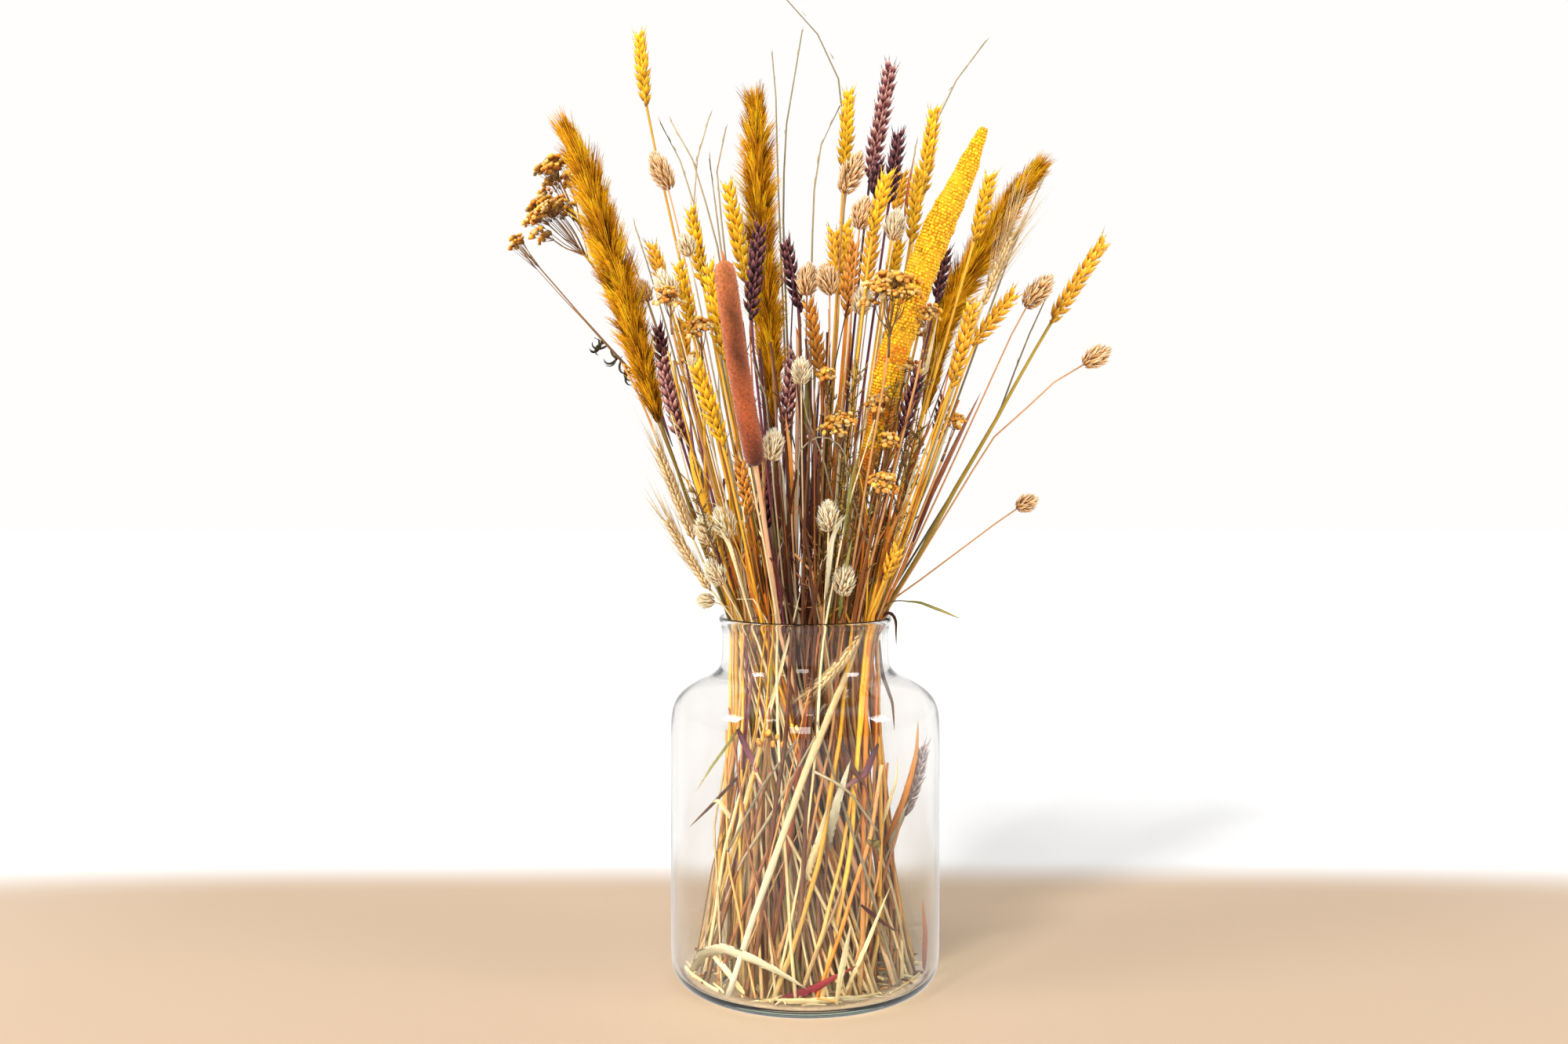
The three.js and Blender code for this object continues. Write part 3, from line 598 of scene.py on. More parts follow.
materials = {
    # dyed wheat husk: dry and fibrous, a soft waxy shine on its ribs
    "wheat": plantMaterial("dyedWheatHusk", (0.55, 5.0), 0.28, (0.42, 0.7), 0.5),
    "straw": plantMaterial("driedStraw", (0.5, 9.0), 0.3, (0.35, 0.65), 0.35),
    "canary": plantMaterial("canaryGrassHusk", (0.45, 6.0), 0.3, (0.5, 0.75), 0.35),
    "plume": plantMaterial("reedPlumeHair", (0.4, 8.0), 0.4, (0.7, 0.9), 0.0, shine=0.08),
    # cattail down: matt felt, its tufts drawn at 2.4 mm so that they show
    "cattail": plantMaterial("cattailDown", (2.4, 2.4), 0.42, (0.85, 1.0), 0.9, sheen=0.25, reliefDepth=0.5),
    "millet": plantMaterial("milletGrain", (1.1, 1.1), 0.16, (0.38, 0.6), 0.2),
    "yarrow": plantMaterial("driedYarrowFloret", (0.7, 0.7), 0.4, (0.75, 0.95), 0.8),
    "leaf": plantMaterial("driedLeaf", (0.8, 16.0), 0.32, (0.5, 0.75), 0.5),
}

# the plants, as seen from the front, numbered in each family: for each plant of a node its row of
# depth, places of its head from base to tip, bends of its stem, and the head's own sizes
bouquet = {
    "wheat_gold": [
        [[21, [[-153, 839], [-159, 914]]], [12, [[-98, 667], [-111, 747]]]],
        [[0, [[-133, 660], [-150, 714]]], [6, [[-111, 566], [-120, 642]]]],
        [[-21, [[-78, 596], [-94, 695]]], [-15, [[-108, 619], [-123, 696]]]],
        [[-45, [[-79, 514], [-108, 600]]], [-39, [[-54, 448], [-64, 507]]]],
        [[9, [[-56, 666], [-76, 773]]]],
        [[30, [[37, 776], [42, 859]]]],
        [[21, [[112, 755], [125, 842]]], [24, [[86, 736], [95, 781]]]],
        [[6, [[101, 708], [110, 785]]], [9, [[78, 663], [93, 717]]]],
        [[-27, [[63, 716], [81, 782]]], [-15, [[58, 663], [66, 728]]]],
        [[0, [[33, 660], [26, 728]]], [6, [[42, 653], [39, 735]]],
         [-6, [[39, 638], [48, 717]]]],
        [[0, [[162, 710], [180, 780]]]],
        [[9, [[236, 632], [291, 716]], [[104, 399], [146, 475], [180, 532], [207, 581]]]],
        [[-15, [[161, 611], [206, 667]]]],
        [[-36, [[141, 570], [164, 658]]], [-45, [[77, 385], [92, 422]]]],
        [[-6, [[17, 573], [2, 660]]]],
        [[-6, [[122, 680], [130, 729]]]],
    ],
    "wheat_plum": [
        [[30, [[61, 766], [83, 884]]]],
        [[-3, [[80, 746], [91, 821]]], [9, [[66, 751], [71, 793]]]],
        [[-30, [[-53, 635], [-43, 734]]], [-21, [[-36, 435], [-42, 499]]]],
        [[0, [[-5, 642], [-21, 717]]]],
        [[-18, [[-120, 519], [-141, 604]]]],
        [[0, [[-134, 581], [-143, 635]]]],
        [[-15, [[-20, 526], [-10, 611]]]],
        [[-12, [[126, 651], [136, 712]]]],
        [[-33, [[91, 519], [111, 592]]]],
        [[27, [[126, 520], [136, 566]]]],
    ],
    "canary": [
        [[9, [[-130, 760], [-148, 797]]], [12, [[-151, 652], [-163, 676]]]],
        [[-9, [[-104, 573], [-111, 602]]], [-9, [[-111, 696], [-118, 720]]],
         [-21, [[-127, 649], [-141, 685]]]],
        [[-15, [[1, 658], [4, 692]]], [-21, [[25, 659], [17, 691]]],
         [-12, [[37, 756], [54, 798]]], [-21, [[51, 722], [60, 755]]]],
        [[-15, [[84, 711], [89, 743]]], [-10, [[52, 640], [58, 670]]]],
        [[0, [[211, 648], [239, 679]]], [-9, [[204, 454], [226, 464]], [[82, 363]]],
         [-17, [[268, 592], [295, 609]], [[180, 520], [206, 543], [237, 573]]]],
        [[-45, [[-33, 500], [-29, 532]]]],
        [[-30, [[-4, 573], [-4, 601]]]],
        [[-33, [[-91, 418], [-101, 451]]], [-39, [[-73, 425], [-86, 457]]],
         [-42, [[-80, 380], [-96, 405]]]],
        [[-18, [[-88, 364], [-107, 365]], [[-72, 358]]]],
        [[-51, [[23, 431], [22, 463]]], [-54, [[36, 369], [40, 401]]]],
    ],
    "plume": [
        [[-9, [[-142, 541], [-158, 597], [-172, 649], [-189, 701], [-204, 753],
         [-218, 794], [-239, 831]], [[-97, 411], [-103, 430], [-115, 464], [-129, 507]],
          [12, 24, 34, 38, 38, 36, 30, 22, 10]]],
        [[18, [[-33, 532], [-32, 589], [-36, 642], [-42, 702], [-45, 763], [-47, 816],
         [-50, 860]], [], [10, 20, 28, 34, 38, 38, 38, 30, 12]]],
        [[21, [[116, 551], [131, 628], [153, 673], [179, 713], [205, 758], [233, 791]],
         [], [8, 16, 26, 36, 36, 32, 26, 18, 8]]],
    ],
    "cattail": [
        [[-54, [[-48, 496], [-67, 604], [-80, 702]]]],
    ],
    "millet_spike": [
        [[-24, [[57, 474], [62, 505], [70, 531], [79, 576], [89, 614], [101, 653],
         [117, 695], [130, 728], [149, 766], [172, 820]]]],
    ],
    "yarrow": [
        [[21, [[-206, 704], [-222, 736], [-248, 790]], [], [46, 30]],
         [15, [[-172, 590], [-226, 650], [-284, 716]], [], [18, 12]]],
        [[-45, [[80, 600], [84, 684]], [], [50, 26]], [-39, [[112, 598], [121, 652]], [], [21, 14]],
         [-45, [[72, 470], [82, 528]], [], [18, 12]]],
        [[-30, [[-128, 622], [-134, 672]], [], [24, 20]]],
        [[-27, [[20, 556], [20, 590]], [], [16, 12]]],
        [[-27, [[132, 500], [149, 545]], [], [15, 10]]],
    ],
    "barley": [
        [[6, [[-108, 422], [-145, 518]], [], [44, 0.2]]],
        [[-27, [[-92, 373], [-137, 448]], [[-76, 357]], [44, 0.22]]],
        [[3, [[170, 648], [199, 717]], [], [72, 0.24]]],
    ],
    "grass": [
        [[30, [[-108, 751], [-120, 788], [-139, 823]]], [27, [[-84, 703], [-105, 782], [-129, 825]]],
         [36, [[-107, 748], [-104, 790], [-92, 829]]], [21, [[-78, 703], [-85, 776], [-76, 819]]],
         [15, [[-81, 703], [-92, 789]]]],
        [[33, [[-21, 725], [-20, 810], [-3, 911]]], [39, [[-27, 782], [-28, 843], [-32, 890]]]],
        [[18, [[-145, 667], [-164, 726]]], [24, [[-143, 631], [-178, 723]]]],
        [[12, [[201, 709], [230, 774]]], [24, [[183, 535], [211, 611], [231, 655]]]],
        [[30, [[126, 830], [133, 848], [173, 901]]], [15, [[98, 754], [106, 802]]]],
        [[39, [[39, 770], [36, 831], [29, 879], [-2, 928], [-20, 942]]],
         [24, [[6, 693], [8, 754], [14, 801], [33, 839]]]],
    ],
}
stalks = {  # flat straws beside them, with their half width and colour
    "canary_07": [[-21, [[-9, 346], [-8, 480], [-7, 626]], 2.6, "salmon"]],
    "canary_10": [[-33, [[20, 360], [27, 417], [33, 510]], 2.9, "cream"]],
}


def standPlant(row, head, bends=(), form=None):
    axis = [inRow(place, row) for place in head]
    base = axis[0]
    neck = neckPlace(base)
    foot = fan["foot"] + fan["footRise"] * abs(neck) / fan["bundle"]
    stem = [inFan(neck, z) for z in (foot, fan["middle"], fan["lip"])]
    last = stem[-1]
    for bend in bends:
        f = (bend[1] - fan["lip"]) / (base[2] - fan["lip"])
        stem.append(atDepth(bend, last[1] + (base[1] - last[1]) * f))
    return {"stem": stem, "path": smoothPath(axis), "form": form}


def addStem(heap, plant, radii, colours, **looks):
    path = plant["path"]
    inside = alongPath(path, np.array([[0, 0, min(0.2 * path["length"], 8)]]))
    straw(heap, np.vstack([plant["stem"], path["points"][:1], inside]), radii, colours, **looks)


def wholeStalk(plant, step, tip=True):
    # the stem and every few places of the head's axis, as one line
    points = plant["path"]["points"]
    last = points[-1:] if tip else points[:0]
    return np.vstack([plant["stem"], points[::step], last])


def around(radius, turn, z):
    radius, turn, z = np.broadcast_arrays(radius, turn, z)
    return np.stack([radius * np.cos(turn), radius * np.sin(turn), z], -1).astype(float)


def hairSizes(width, lengths):
    return np.stack([np.full(len(lengths), width)] * 2 + [lengths], 1)


def turnedShape(profile, steps):
    bm = bmesh.new()
    addRow(bm, profile)
    spinRound(bm, steps, weld=1e-4)
    bmesh.ops.recalc_face_normals(bm, faces=bm.faces)
    return shapeOf(bm)


def addTurned(heap, profile, path, colours, steps, rough=0.0, patches=None):
    shape = turnedShape(profile, steps)
    local = shape["verts"].copy()
    if rough:
        a = np.arctan2(local[:, 1], local[:, 0])
        lumps = 1 + rough * (np.sin(3 * a + local[:, 2] * 0.11) + np.sin(5 * a - local[:, 2] * 0.23)) / 2
        local[:, :2] *= lumps[:, None]
    tint = blendColours(colours, local[:, 2] / path["length"])
    # a colour pattern over the turned surface; on the cattail it is painted light and shade
    if patches:
        tint *= patches(np.arctan2(local[:, 1], local[:, 0]), local[:, 2])[:, None]
    addTo(heap, alongPath(path, local), shape, 1, tint, local + ownGrain(3))


# wheat ears: spikelets in two rows, each of three florets between two glumes, with short beards
wheat = {
    "step": 5.0, "floret": (4.6, 6.1, 12.8), "glume": (3.0, 4.3, 9.0), "beard": (0.55, 0.55, 5.0),
    "parts": (  # shape, turn from the spikelet's own side, lean, drop and height against the others
        ("floret", 0.0, 0.54, 0.0, 1.0), ("floret", 1.0, 0.54, 1.6, 0.96), ("floret", -1.0, 0.54, 1.6, 0.96),
        ("glume", 1.5, 0.56, 3.4, 1.0), ("glume", -1.5, 0.56, 3.4, 1.0)),
    # colours of the husk and of the beard, and the stem that goes with them
    "gold": (["#8E4404", "#ECA806", "#FCD636"], ["#F0B828", "#F8D870"], "gold"),
    "orange": (["#7A3A0C", "#CE7A1C", "#F0B458"], ["#C87A24", "#F0BC70"], "orange"),
    "amber": (["#9A5208", "#EBA012", "#FAD054"], ["#D89420", "#F4D080"], "gold"),
    "plum": (["#10040A", "#30101A", "#A0605E"], ["#301018", "#8A5258"], "plum"),
    "dusty": (["#5E464A", "#967C7E", "#CDBDB8"], ["#806468", "#C4B0AC"], "grey"),
    "rose": (["#180810", "#682A2E", "#F0B4A0"], ["#5A2A30", "#B07A70"], "plum"),
}


def addWheat(heap, plant):
    husk, beard = wheat[plant["look"]][:2]
    path = plant["path"]
    length = path["length"]
    size = 0.8 + length / 380
    count = int(round(length / wheat["step"] / size ** 0.5))
    i = np.arange(count)
    t = (i + 0.5) / count
    swell = (0.74 + 0.34 * np.sin(math.pi * (0.12 + 0.78 * t))) * size
    side = math.pi * (i % 2) + dice.uniform(-0.3, 0.3)
    z = 0.5 + (length - 10.5 * size) * t
    for part, turn, lean, drop, tall in wheat["parts"]:
        at = side + turn + dice.normal(0, 0.1, count)
        tip = lean * (0.85 + 0.3 * (1 - t)) + dice.normal(0, 0.05, count)
        places = around(1.1 * swell, at, z - drop)
        turns = turned(tip, at)
        scales = np.array(wheat[part]) * swell[:, None] * dice.uniform(0.92, 1.08, (count, 1))
        scales[:, 2] *= tall
        scatter(heap, shapes[part], places, turns, scales, husk, path, 0.13, tone=0.8 + 0.3 * t)
        if part == "floret":
            tops = places + np.einsum("njk,nk->nj", turns, scales * [0, 0, 0.93])
            reach = np.array(wheat["beard"]) * np.ones((count, 1))
            reach[:, 2] *= dice.uniform(0.3, 1.0, count) * (0.6 + 1.5 * t ** 3)
            scatter(heap, shapes["beard"], tops, turned(tip * 0.7, at), reach, beard, path, 0.1)


# canary grass: a short fat head of keeled scales laid over each other like tiles
canary = {
    "scales": 176, "scale": (1.3, 2.4, 9.6),
    # colours of the scales, and the stem that goes with them
    "cream": (["#C07C36", "#FFE0AA", "#FFFAE8"], "cream"),
    "tan": (["#8A5222", "#E6AE6C", "#FFE8C4"], "tan"),
}


def addCanary(heap, plant):
    path = plant["path"]
    length = path["length"]
    colours = canary[plant["look"]][0]
    radius = min(10, 4 + length * 0.17)
    count = int(canary["scales"] * (0.5 + length / 66))
    t = (np.arange(count) + 0.5) / count
    out = radius * (0.16 + 0.84 * np.sin(math.pi * (0.14 + 0.82 * t)) ** 0.9)
    at = goldenTurn * np.arange(count) + dice.normal(0, 0.12, count)
    lean = 0.82 - 0.66 * t + dice.normal(0, 0.12, count)
    size = (0.72 + 0.35 * np.sin(math.pi * t)) * radius / 9
    places = around(np.maximum(out - 3.4 * size, 0.3), at, (length - 6.4 * radius / 9) * t ** 1.05 - 0.5)
    scales = np.array(canary["scale"]) * size[:, None] * dice.uniform(0.9, 1.1, (count, 1))
    scatter(heap, shapes["scale"], places, turned(lean, at), scales, colours, path, 0.2)
    core = [(0, -1), (1.2, 0.5), (radius * 0.42, length * 0.25), (radius * 0.42, length * 0.6),
            (0.8, length * 0.9), (0, length * 0.93)]
    addTurned(heap, core, path, colours[:2], 8)


# reed plumes: soft locks of hair up a fine stalk, brown at the root and golden at the point
plume = {
    "locks": 240, "hairs": 36, "hair": 0.62,
    "lock": (19, 14),  # how long a lock is, and how much longer part of the way up
    "browned": (0.6, 0.16),  # share of brown hairs in dull locks and in the others
    "gold": ["#7C4204", "#FFB01C"], "brown": ["#4C2604", "#CA7A12"],
}


def addPlume(heap, plant):
    path = plant["path"]
    length = path["length"]
    widths = np.array(plant["form"]) / 2
    locks, hairs = plume["locks"], plume["hairs"]
    t = (np.arange(locks) + 0.4) / locks
    half = np.interp(t, np.linspace(0, 1, len(widths)), widths)
    short, more = plume["lock"]
    tall = (short + more * np.sin(math.pi * (0.12 + 0.62 * t))) * dice.uniform(0.8, 1.2, locks)
    at = goldenTurn * np.arange(locks) + dice.normal(0, 0.2, locks)
    lean = np.arctan2(half * dice.uniform(0.6, 1.5, locks), tall * 0.9)
    root = around(1.2, at, t * (length - tall * 0.97))
    peak = root + around(tall * np.sin(lean), at, tall * np.cos(lean))
    root, peak = (np.repeat(a, hairs, axis=0) for a in (root, peak))
    n = locks * hairs
    start = root + dice.normal(0, 1, (n, 3)) * [1.0, 1.0, 3.4]
    end = start + (peak - root) * dice.uniform(0.5, 1.1, (n, 1)) + dice.normal(0, 1, (n, 3)) * [2.0, 2.0, 1.4]
    reach = end - start
    long = np.linalg.norm(reach, axis=1)
    tilt = np.arccos(np.clip(reach[:, 2] / long, -1, 1))
    turn = np.arctan2(reach[:, 1], reach[:, 0])
    scales = hairSizes(plume["hair"], long)
    patchy = 1 + 0.2 * np.sin(t * length * 0.13 + 2 * np.sin(at)) + dice.normal(0, 0.26, locks)
    tone = np.repeat(np.clip(patchy, 0.5, 1.35), hairs)
    turns = turned(tilt, turn)
    brown = dice.random(n) < np.where(tone < 0.9, *plume["browned"])
    for group, colours in ((brown, plume["brown"]), (~brown, plume["gold"])):
        scatter(heap, shapes["hair"], start[group], turns[group], scales[group], colours, path, 0.14,
                tone=tone[group])
    core = [(0, -2), (1.5, 0), (2.4, length * 0.3), (1.6, length * 0.8), (0, length * 0.97)]
    addTurned(heap, core, path, plume["brown"], 6)


# cattail: a felt-like barrel of down, with the bare spike above it
cattail = {
    # radius and height: from the third on, a height below zero counts back from the tip
    "profile": ((0, -1), (2.5, -0.6), (5, 0.4), (7.2, 2.2), (8.5, 5.4), (9.1, 12), (9.35, 30), (9.5, 70),
                (9.5, 120), (9.3, 160), (9.05, -24), (8.5, -17), (7.2, -12.8), (4.4, -10.2), (2.0, -9.2),
                (1.4, -8), (1.1, -3), (0, 0)),
    "ring": 5, "down": 3400, "tuft": 0.42, "tuftColours": ["#84381A", "#DC8A56"],
    "colours": ["#84381A", "#A04A22", "#B65A2C", "#C06432", "#CC7844"],
}


def cattailShadeAndMottle(at, z):
    # painted light and shade on the down: brighter than its own colour where unshaded, as painted light;
    # darker down one side, in long waves along it, as painted shade; and small darker mottles of its own
    waves = np.sin(z * 0.05 + 1.2 * np.sin(z * 0.021) + 1.4)
    shadedSide = np.clip(np.cos(at + 1.3), 0, 1) ** 2 * (0.42 + 0.58 * waves)
    return 1.18 - 0.8 * np.clip(shadedSide, 0, 1) - 0.16 * np.clip(np.sin(z * 0.17 + 2.1 * at), 0, 1)


def addCattail(heap, plant):
    path = plant["path"]
    length = path["length"]
    profile = [(r, z if z > 0 or i < 2 else length + z) for i, (r, z) in enumerate(cattail["profile"])]
    rows = [profile[0]]
    for (ra, za), (rb, zb) in zip(profile[:-1], profile[1:]):
        count = max(1, int((zb - za) / cattail["ring"]))
        rows += [(ra + (rb - ra) * k / count, za + (zb - za) * k / count) for k in range(1, count + 1)]
    # the down carries painted shade down one side and painted light on the rest
    addTurned(heap, rows, path, cattail["colours"], 36, rough=0.025, patches=cattailShadeAndMottle)
    n = cattail["down"]
    z = dice.uniform(1, length - 12, n)
    table = np.array(rows)
    out = np.interp(z, table[:, 1], table[:, 0]) - 0.5
    at = dice.uniform(0, 2 * math.pi, n)
    reach = hairSizes(cattail["tuft"], dice.uniform(0.9, 1.9, n))
    turns = turned(dice.uniform(0.7, 1.5, n), at + dice.normal(0, 0.5, n))
    # the tufts carry the same painted light and shade as the down under them
    scatter(heap, shapes["hair"], around(out, at, z), turns, reach, cattail["tuftColours"], path, 0.34,
            tone=cattailShadeAndMottle(at, z))


# pearl millet: a long spike packed with round grain, orange in patches low down
millet = {
    "widths": (4.5, 9, 11.5, 13.5, 14.5, 14.5, 14.5, 14, 12.5, 9.5, 4),
    "pitch": 3.3, "grain": (4.1, 4.1, 3.2), "colours": ["#B86C06", "#EAA80E", "#FFC82E"],
    "patch": ["#A84806", "#E87410", "#FFA028"], "core": ["#E4940A", "#F0AC0A"],
    "sunk": 2.6,  # how far the grains sit in the spike
}


def addMillet(heap, plant):
    path = plant["path"]
    length = path["length"]
    stations = np.linspace(0, length - 3, len(millet["widths"]))
    z = [0.5]
    rowAt = []
    while z[-1] < length - 2:
        r = np.interp(z[-1], stations, millet["widths"])
        count = max(4, int(2 * math.pi * r / millet["pitch"]))
        shift = anyTurn()
        rowAt += [(r, shift + 2 * math.pi * k / count, z[-1]) for k in range(count)]
        z.append(z[-1] + millet["pitch"] * 0.86)
    rowAt = np.array(rowAt)
    n = len(rowAt)
    lumps = 1 + 0.035 * np.sin(rowAt[:, 2] * 0.31 + 2 * rowAt[:, 1]) + 0.03 * np.sin(rowAt[:, 2] * 0.083)
    lean = 1.1 + dice.normal(0, 0.12, n)
    at = rowAt[:, 1] + dice.normal(0, 0.05, n)
    places = around(rowAt[:, 0] * lumps - millet["sunk"], at, rowAt[:, 2] - 0.9)
    scales = np.array(millet["grain"]) * dice.uniform(0.82, 1.12, (n, 1))
    t = rowAt[:, 2] / length
    # orange comes in waves, and more of it low down
    waves = np.sin(rowAt[:, 2] * 0.12 + 1.3 * np.sin(rowAt[:, 1]))
    patch = (waves + 1.1 * (0.42 - t) * 4 + dice.normal(0, 0.4, n)) > 0.95
    for group, colours in ((patch, millet["patch"]), (~patch, millet["colours"])):
        scatter(heap, shapes["grain"], places[group], turned(lean[group], at[group]), scales[group], colours,
                path, 0.15)
    core = [(0, -2)] + [(w - 1.0, z) for w, z in zip(millet["widths"], stations)] + [(0, length - 1)]
    addTurned(heap, core, path, millet["core"], 16)


# yarrow: flat heads of dry florets, at the ends of many fine branches
yarrow = {
    # heads over this width count as wide. Square millimetres and florets for each group of florets,
    # and how large these are, in wide heads and in the others
    "wide": 30, "areas": (170, 90), "florets": (12, 9), "scales": (1, 0.85),
    "floret": 5.4, "twigs": (0.55, 0.34),
    "colours": (["#70400E", "#C8801C", "#F0AC38", "#F8C862"], ["#5A2A0C", "#A85618", "#E08C2C", "#F0AE58"],
                ["#6A4218", "#B88438", "#E2B464", "#F0D090"]),
    "branch": ["#74502C", "#946838", "#845624"],
}


def addFloret(heap, path, crown, end, scale, withTwig):
    toward = end - crown
    long = np.linalg.norm(toward)
    if withTwig:
        twig(heap, [crown, crown + toward * 0.55 + [0, 0, -0.6], end], yarrow["twigs"][1], path, "fine")
    lean = math.acos(np.clip(toward[2] / long, -1, 1)) * 0.7
    turn = math.atan2(toward[1], toward[0])
    size = yarrow["floret"] * dice.uniform(0.6, 1.3) * scale
    turns = turned(lean + dice.normal(0, 0.3), turn, dice.uniform(0, 6))
    scales = [size, size * dice.uniform(0.7, 1), size * 0.9]
    scatter(heap, shapes["button"], [end - [0, 0, size * 0.5]], turns, scales,
            yarrow["colours"][dice.integers(0, 3)], path, 0.22)


def addYarrow(heap, plant):
    path = plant["path"]
    length = path["length"]
    width, height = plant["form"]
    area, count, scale = (yarrow[key][width <= yarrow["wide"]] for key in ("areas", "florets", "scales"))
    groups = max(4, int(round(width * width / area)))
    i = np.arange(groups)
    far = np.sqrt((i + 0.4) / groups)
    r = (width / 2 - 4) * far
    top = length - height * (0.4 * far * far + 0.75 * dice.uniform(0, 1, groups) * far)
    at = goldenTurn * i + 0.5
    root = max(1, length * 0.45 - height * 0.3)
    spread = 0.46 * width / math.sqrt(groups) + 2.0
    for k in range(groups):
        fork = np.array([0, 0, root * dice.uniform(0.55, 1.05)])
        crown = around(r[k] * 0.7, at[k], fork[2] + (top[k] - fork[2]) * 0.7)
        middle = fork * 0.45 + crown * 0.55 + around(r[k] * 0.14, at[k], 0)
        twig(heap, [fork, middle, crown], yarrow["twigs"][0], path)
        for j in range(count):
            out = spread * math.sqrt((j + 0.4) / count)
            end = around(r[k], at[k], top[k] - 0.05 * out ** 2 - dice.uniform(0, 3.0))
            end = end + around(out, goldenTurn * j + k, 0)
            addFloret(heap, path, crown, end, scale, withTwig=j % 2 == 0)
    stalk = alongPath(path, np.array([[0, 0, -1.0], [0, 0, root * 0.5], [0, 0, root * 1.05]]))
    straw(heap, stalk, [1.5, 1.3], yarrow["branch"][:2], "twig", 0.0, 1)


def twig(heap, points, radius, path=None, shape="twig", colours=None, slot=1):
    points = np.array(points, float)
    if path is not None:
        points = alongPath(path, points)
    radii = [radius * 1.15, radius * 0.8]
    straw(heap, points, radii, colours or yarrow["branch"], shape, 0.0, slot, span=8.0)


# barley: flat ears of narrow grains, each with a long stiff beard
barley = {
    "step": 3.4, "grain": (3.3, 4.2, 10.8), "beards": 96, "beardWidth": 0.42,
    "rows": ((0.0, 1.0, 0), (0.95, 0.86, 0.9), (-0.95, 0.86, 0.9)),  # turn, size and drop
    "colours": ["#8E602C", "#E0B878", "#F8E4BA"], "beard": ["#D0AA70", "#F0D8AA"],
}


def addBarley(heap, plant):
    path = plant["path"]
    awn, spread = plant["form"]
    length = path["length"]
    count = int(length / barley["step"])
    t = (np.arange(count) + 0.5) / count
    swell = 0.78 + 0.3 * np.sin(math.pi * (0.15 + 0.7 * t))
    for turn, tall, drop in barley["rows"]:
        at = math.pi * (np.arange(count) % 2) + turn + dice.normal(0, 0.07, count)
        lean = 0.26 + dice.normal(0, 0.04, count)
        places = around(1.0, at, (length - 9) * t - drop)
        scales = np.array(barley["grain"]) * swell[:, None] * tall
        scatter(heap, shapes["glume"], places, turned(lean, at), scales, barley["colours"], path, 0.12)
    n = int(barley["beards"] * length / 110) + 12
    z = dice.uniform(0.04, 0.92, n) * length
    at = math.pi * dice.integers(0, 2, n) + dice.normal(0, 0.55, n)
    lean = dice.uniform(0.03, spread * 1.15, n)
    reach = hairSizes(barley["beardWidth"], awn * dice.uniform(0.7, 1.15, n))
    scatter(heap, shapes["bristle"], around(1.8, at, z), turned(lean, at), reach, barley["beard"], path, 0.1,
            bend=dice.uniform(-2.5, 2.5, n))


# fine grasses: hair-thin bent stalks, a few with narrow husks near the point
grass = {"husks": 6, "husk": (0.8, 1.2, 9.0), "colours": ["#8A7044", "#B49A68", "#D0B88A"],
         "culm": ["#A8946C", "#94805A", "#8A7450", "#A08A60", "#B8A276"]}


def addGrass(heap, plant):
    path = plant["path"]
    straw(heap, wholeStalk(plant, 3), [1.5, 1.4, 1.3, 1.15, 0.7], grass["culm"], "straw", 0.3, 1, span=12.0)
    n = grass["husks"]
    z = path["length"] * (0.3 + 0.68 * np.linspace(0, 1, n) ** 0.9)
    at = 2.4 * np.arange(n)
    scatter(heap, shapes["glume"], around(0.3, at, z), turned(dice.uniform(0.03, 0.12, n), at),
            np.array(grass["husk"]) * dice.uniform(0.7, 1.2, (n, 1)), grass["colours"], path, 0.1)


# for each kind of plant: how its head is made, and the material of the head
heads = {
    "wheat": (addWheat, "wheat"), "canary": (addCanary, "canary"), "plume": (addPlume, "plume"),
    "cattail": (addCattail, "cattail"), "millet": (addMillet, "millet"), "yarrow": (addYarrow, "yarrow"),
    "barley": (addBarley, "wheat"), "grass": (addGrass, "straw"),
}
stems = {  # radii from foot to head, and the colour where the head's look doesn't give it
    "wheat": ([1.75, 1.6, 1.45, 1.2], None), "canary": ([1.3, 1.2, 1.0, 0.7], None),
    "plume": ([2.1, 2.0, 1.8, 1.5], "olive"), "cattail": ([3.0, 2.8, 2.5, 2.3], "salmon"),
    "millet": ([2.6, 2.6, 2.6, 3.0], "orange"), "yarrow": ([1.7, 1.6, 1.4, 1.1], "tan"),
    "barley": ([1.5, 1.4, 1.3, 1.1], "cream"), "wheat_gold_12": ([2.1, 2.5, 2.4, 1.4], "olive"),
}
families = {  # kind, usual look and slot, where {} stands for the look
    "wheat_gold": ("wheat", "gold", "wheat_gold"), "wheat_plum": ("wheat", "plum", "wheat_plum"),
    "canary": ("canary", "cream", "canary_{}"), "plume": ("plume", None, "plume_ochre"),
    "cattail": ("cattail", None, "cattail_rust"), "millet_spike": ("millet", None, "millet_yellow"),
    "yarrow": ("yarrow", None, "yarrow_brown"), "barley": ("barley", None, "barley_straw"),
    "grass": ("grass", None, "grass_straw"),
}
looks = {  # for each plant of a node, where it isn't the usual one
    "wheat_gold_02": ["amber", "amber"], "wheat_gold_04": ["gold", "orange"],
    "wheat_gold_07": ["gold", "amber"], "wheat_gold_09": ["gold", "amber"],
    "wheat_gold_10": ["amber", "gold", "orange"], "wheat_gold_12": ["amber"], "wheat_gold_13": ["amber"],
    "wheat_gold_14": ["amber", "amber"], "wheat_gold_15": ["orange"],
    "wheat_plum_01": ["rose"], "wheat_plum_05": ["rose"], "wheat_plum_07": ["rose"],
    "canary_01": ["tan"] * 2, "canary_03": ["tan"] * 4, "canary_05": ["tan"] * 3,
}


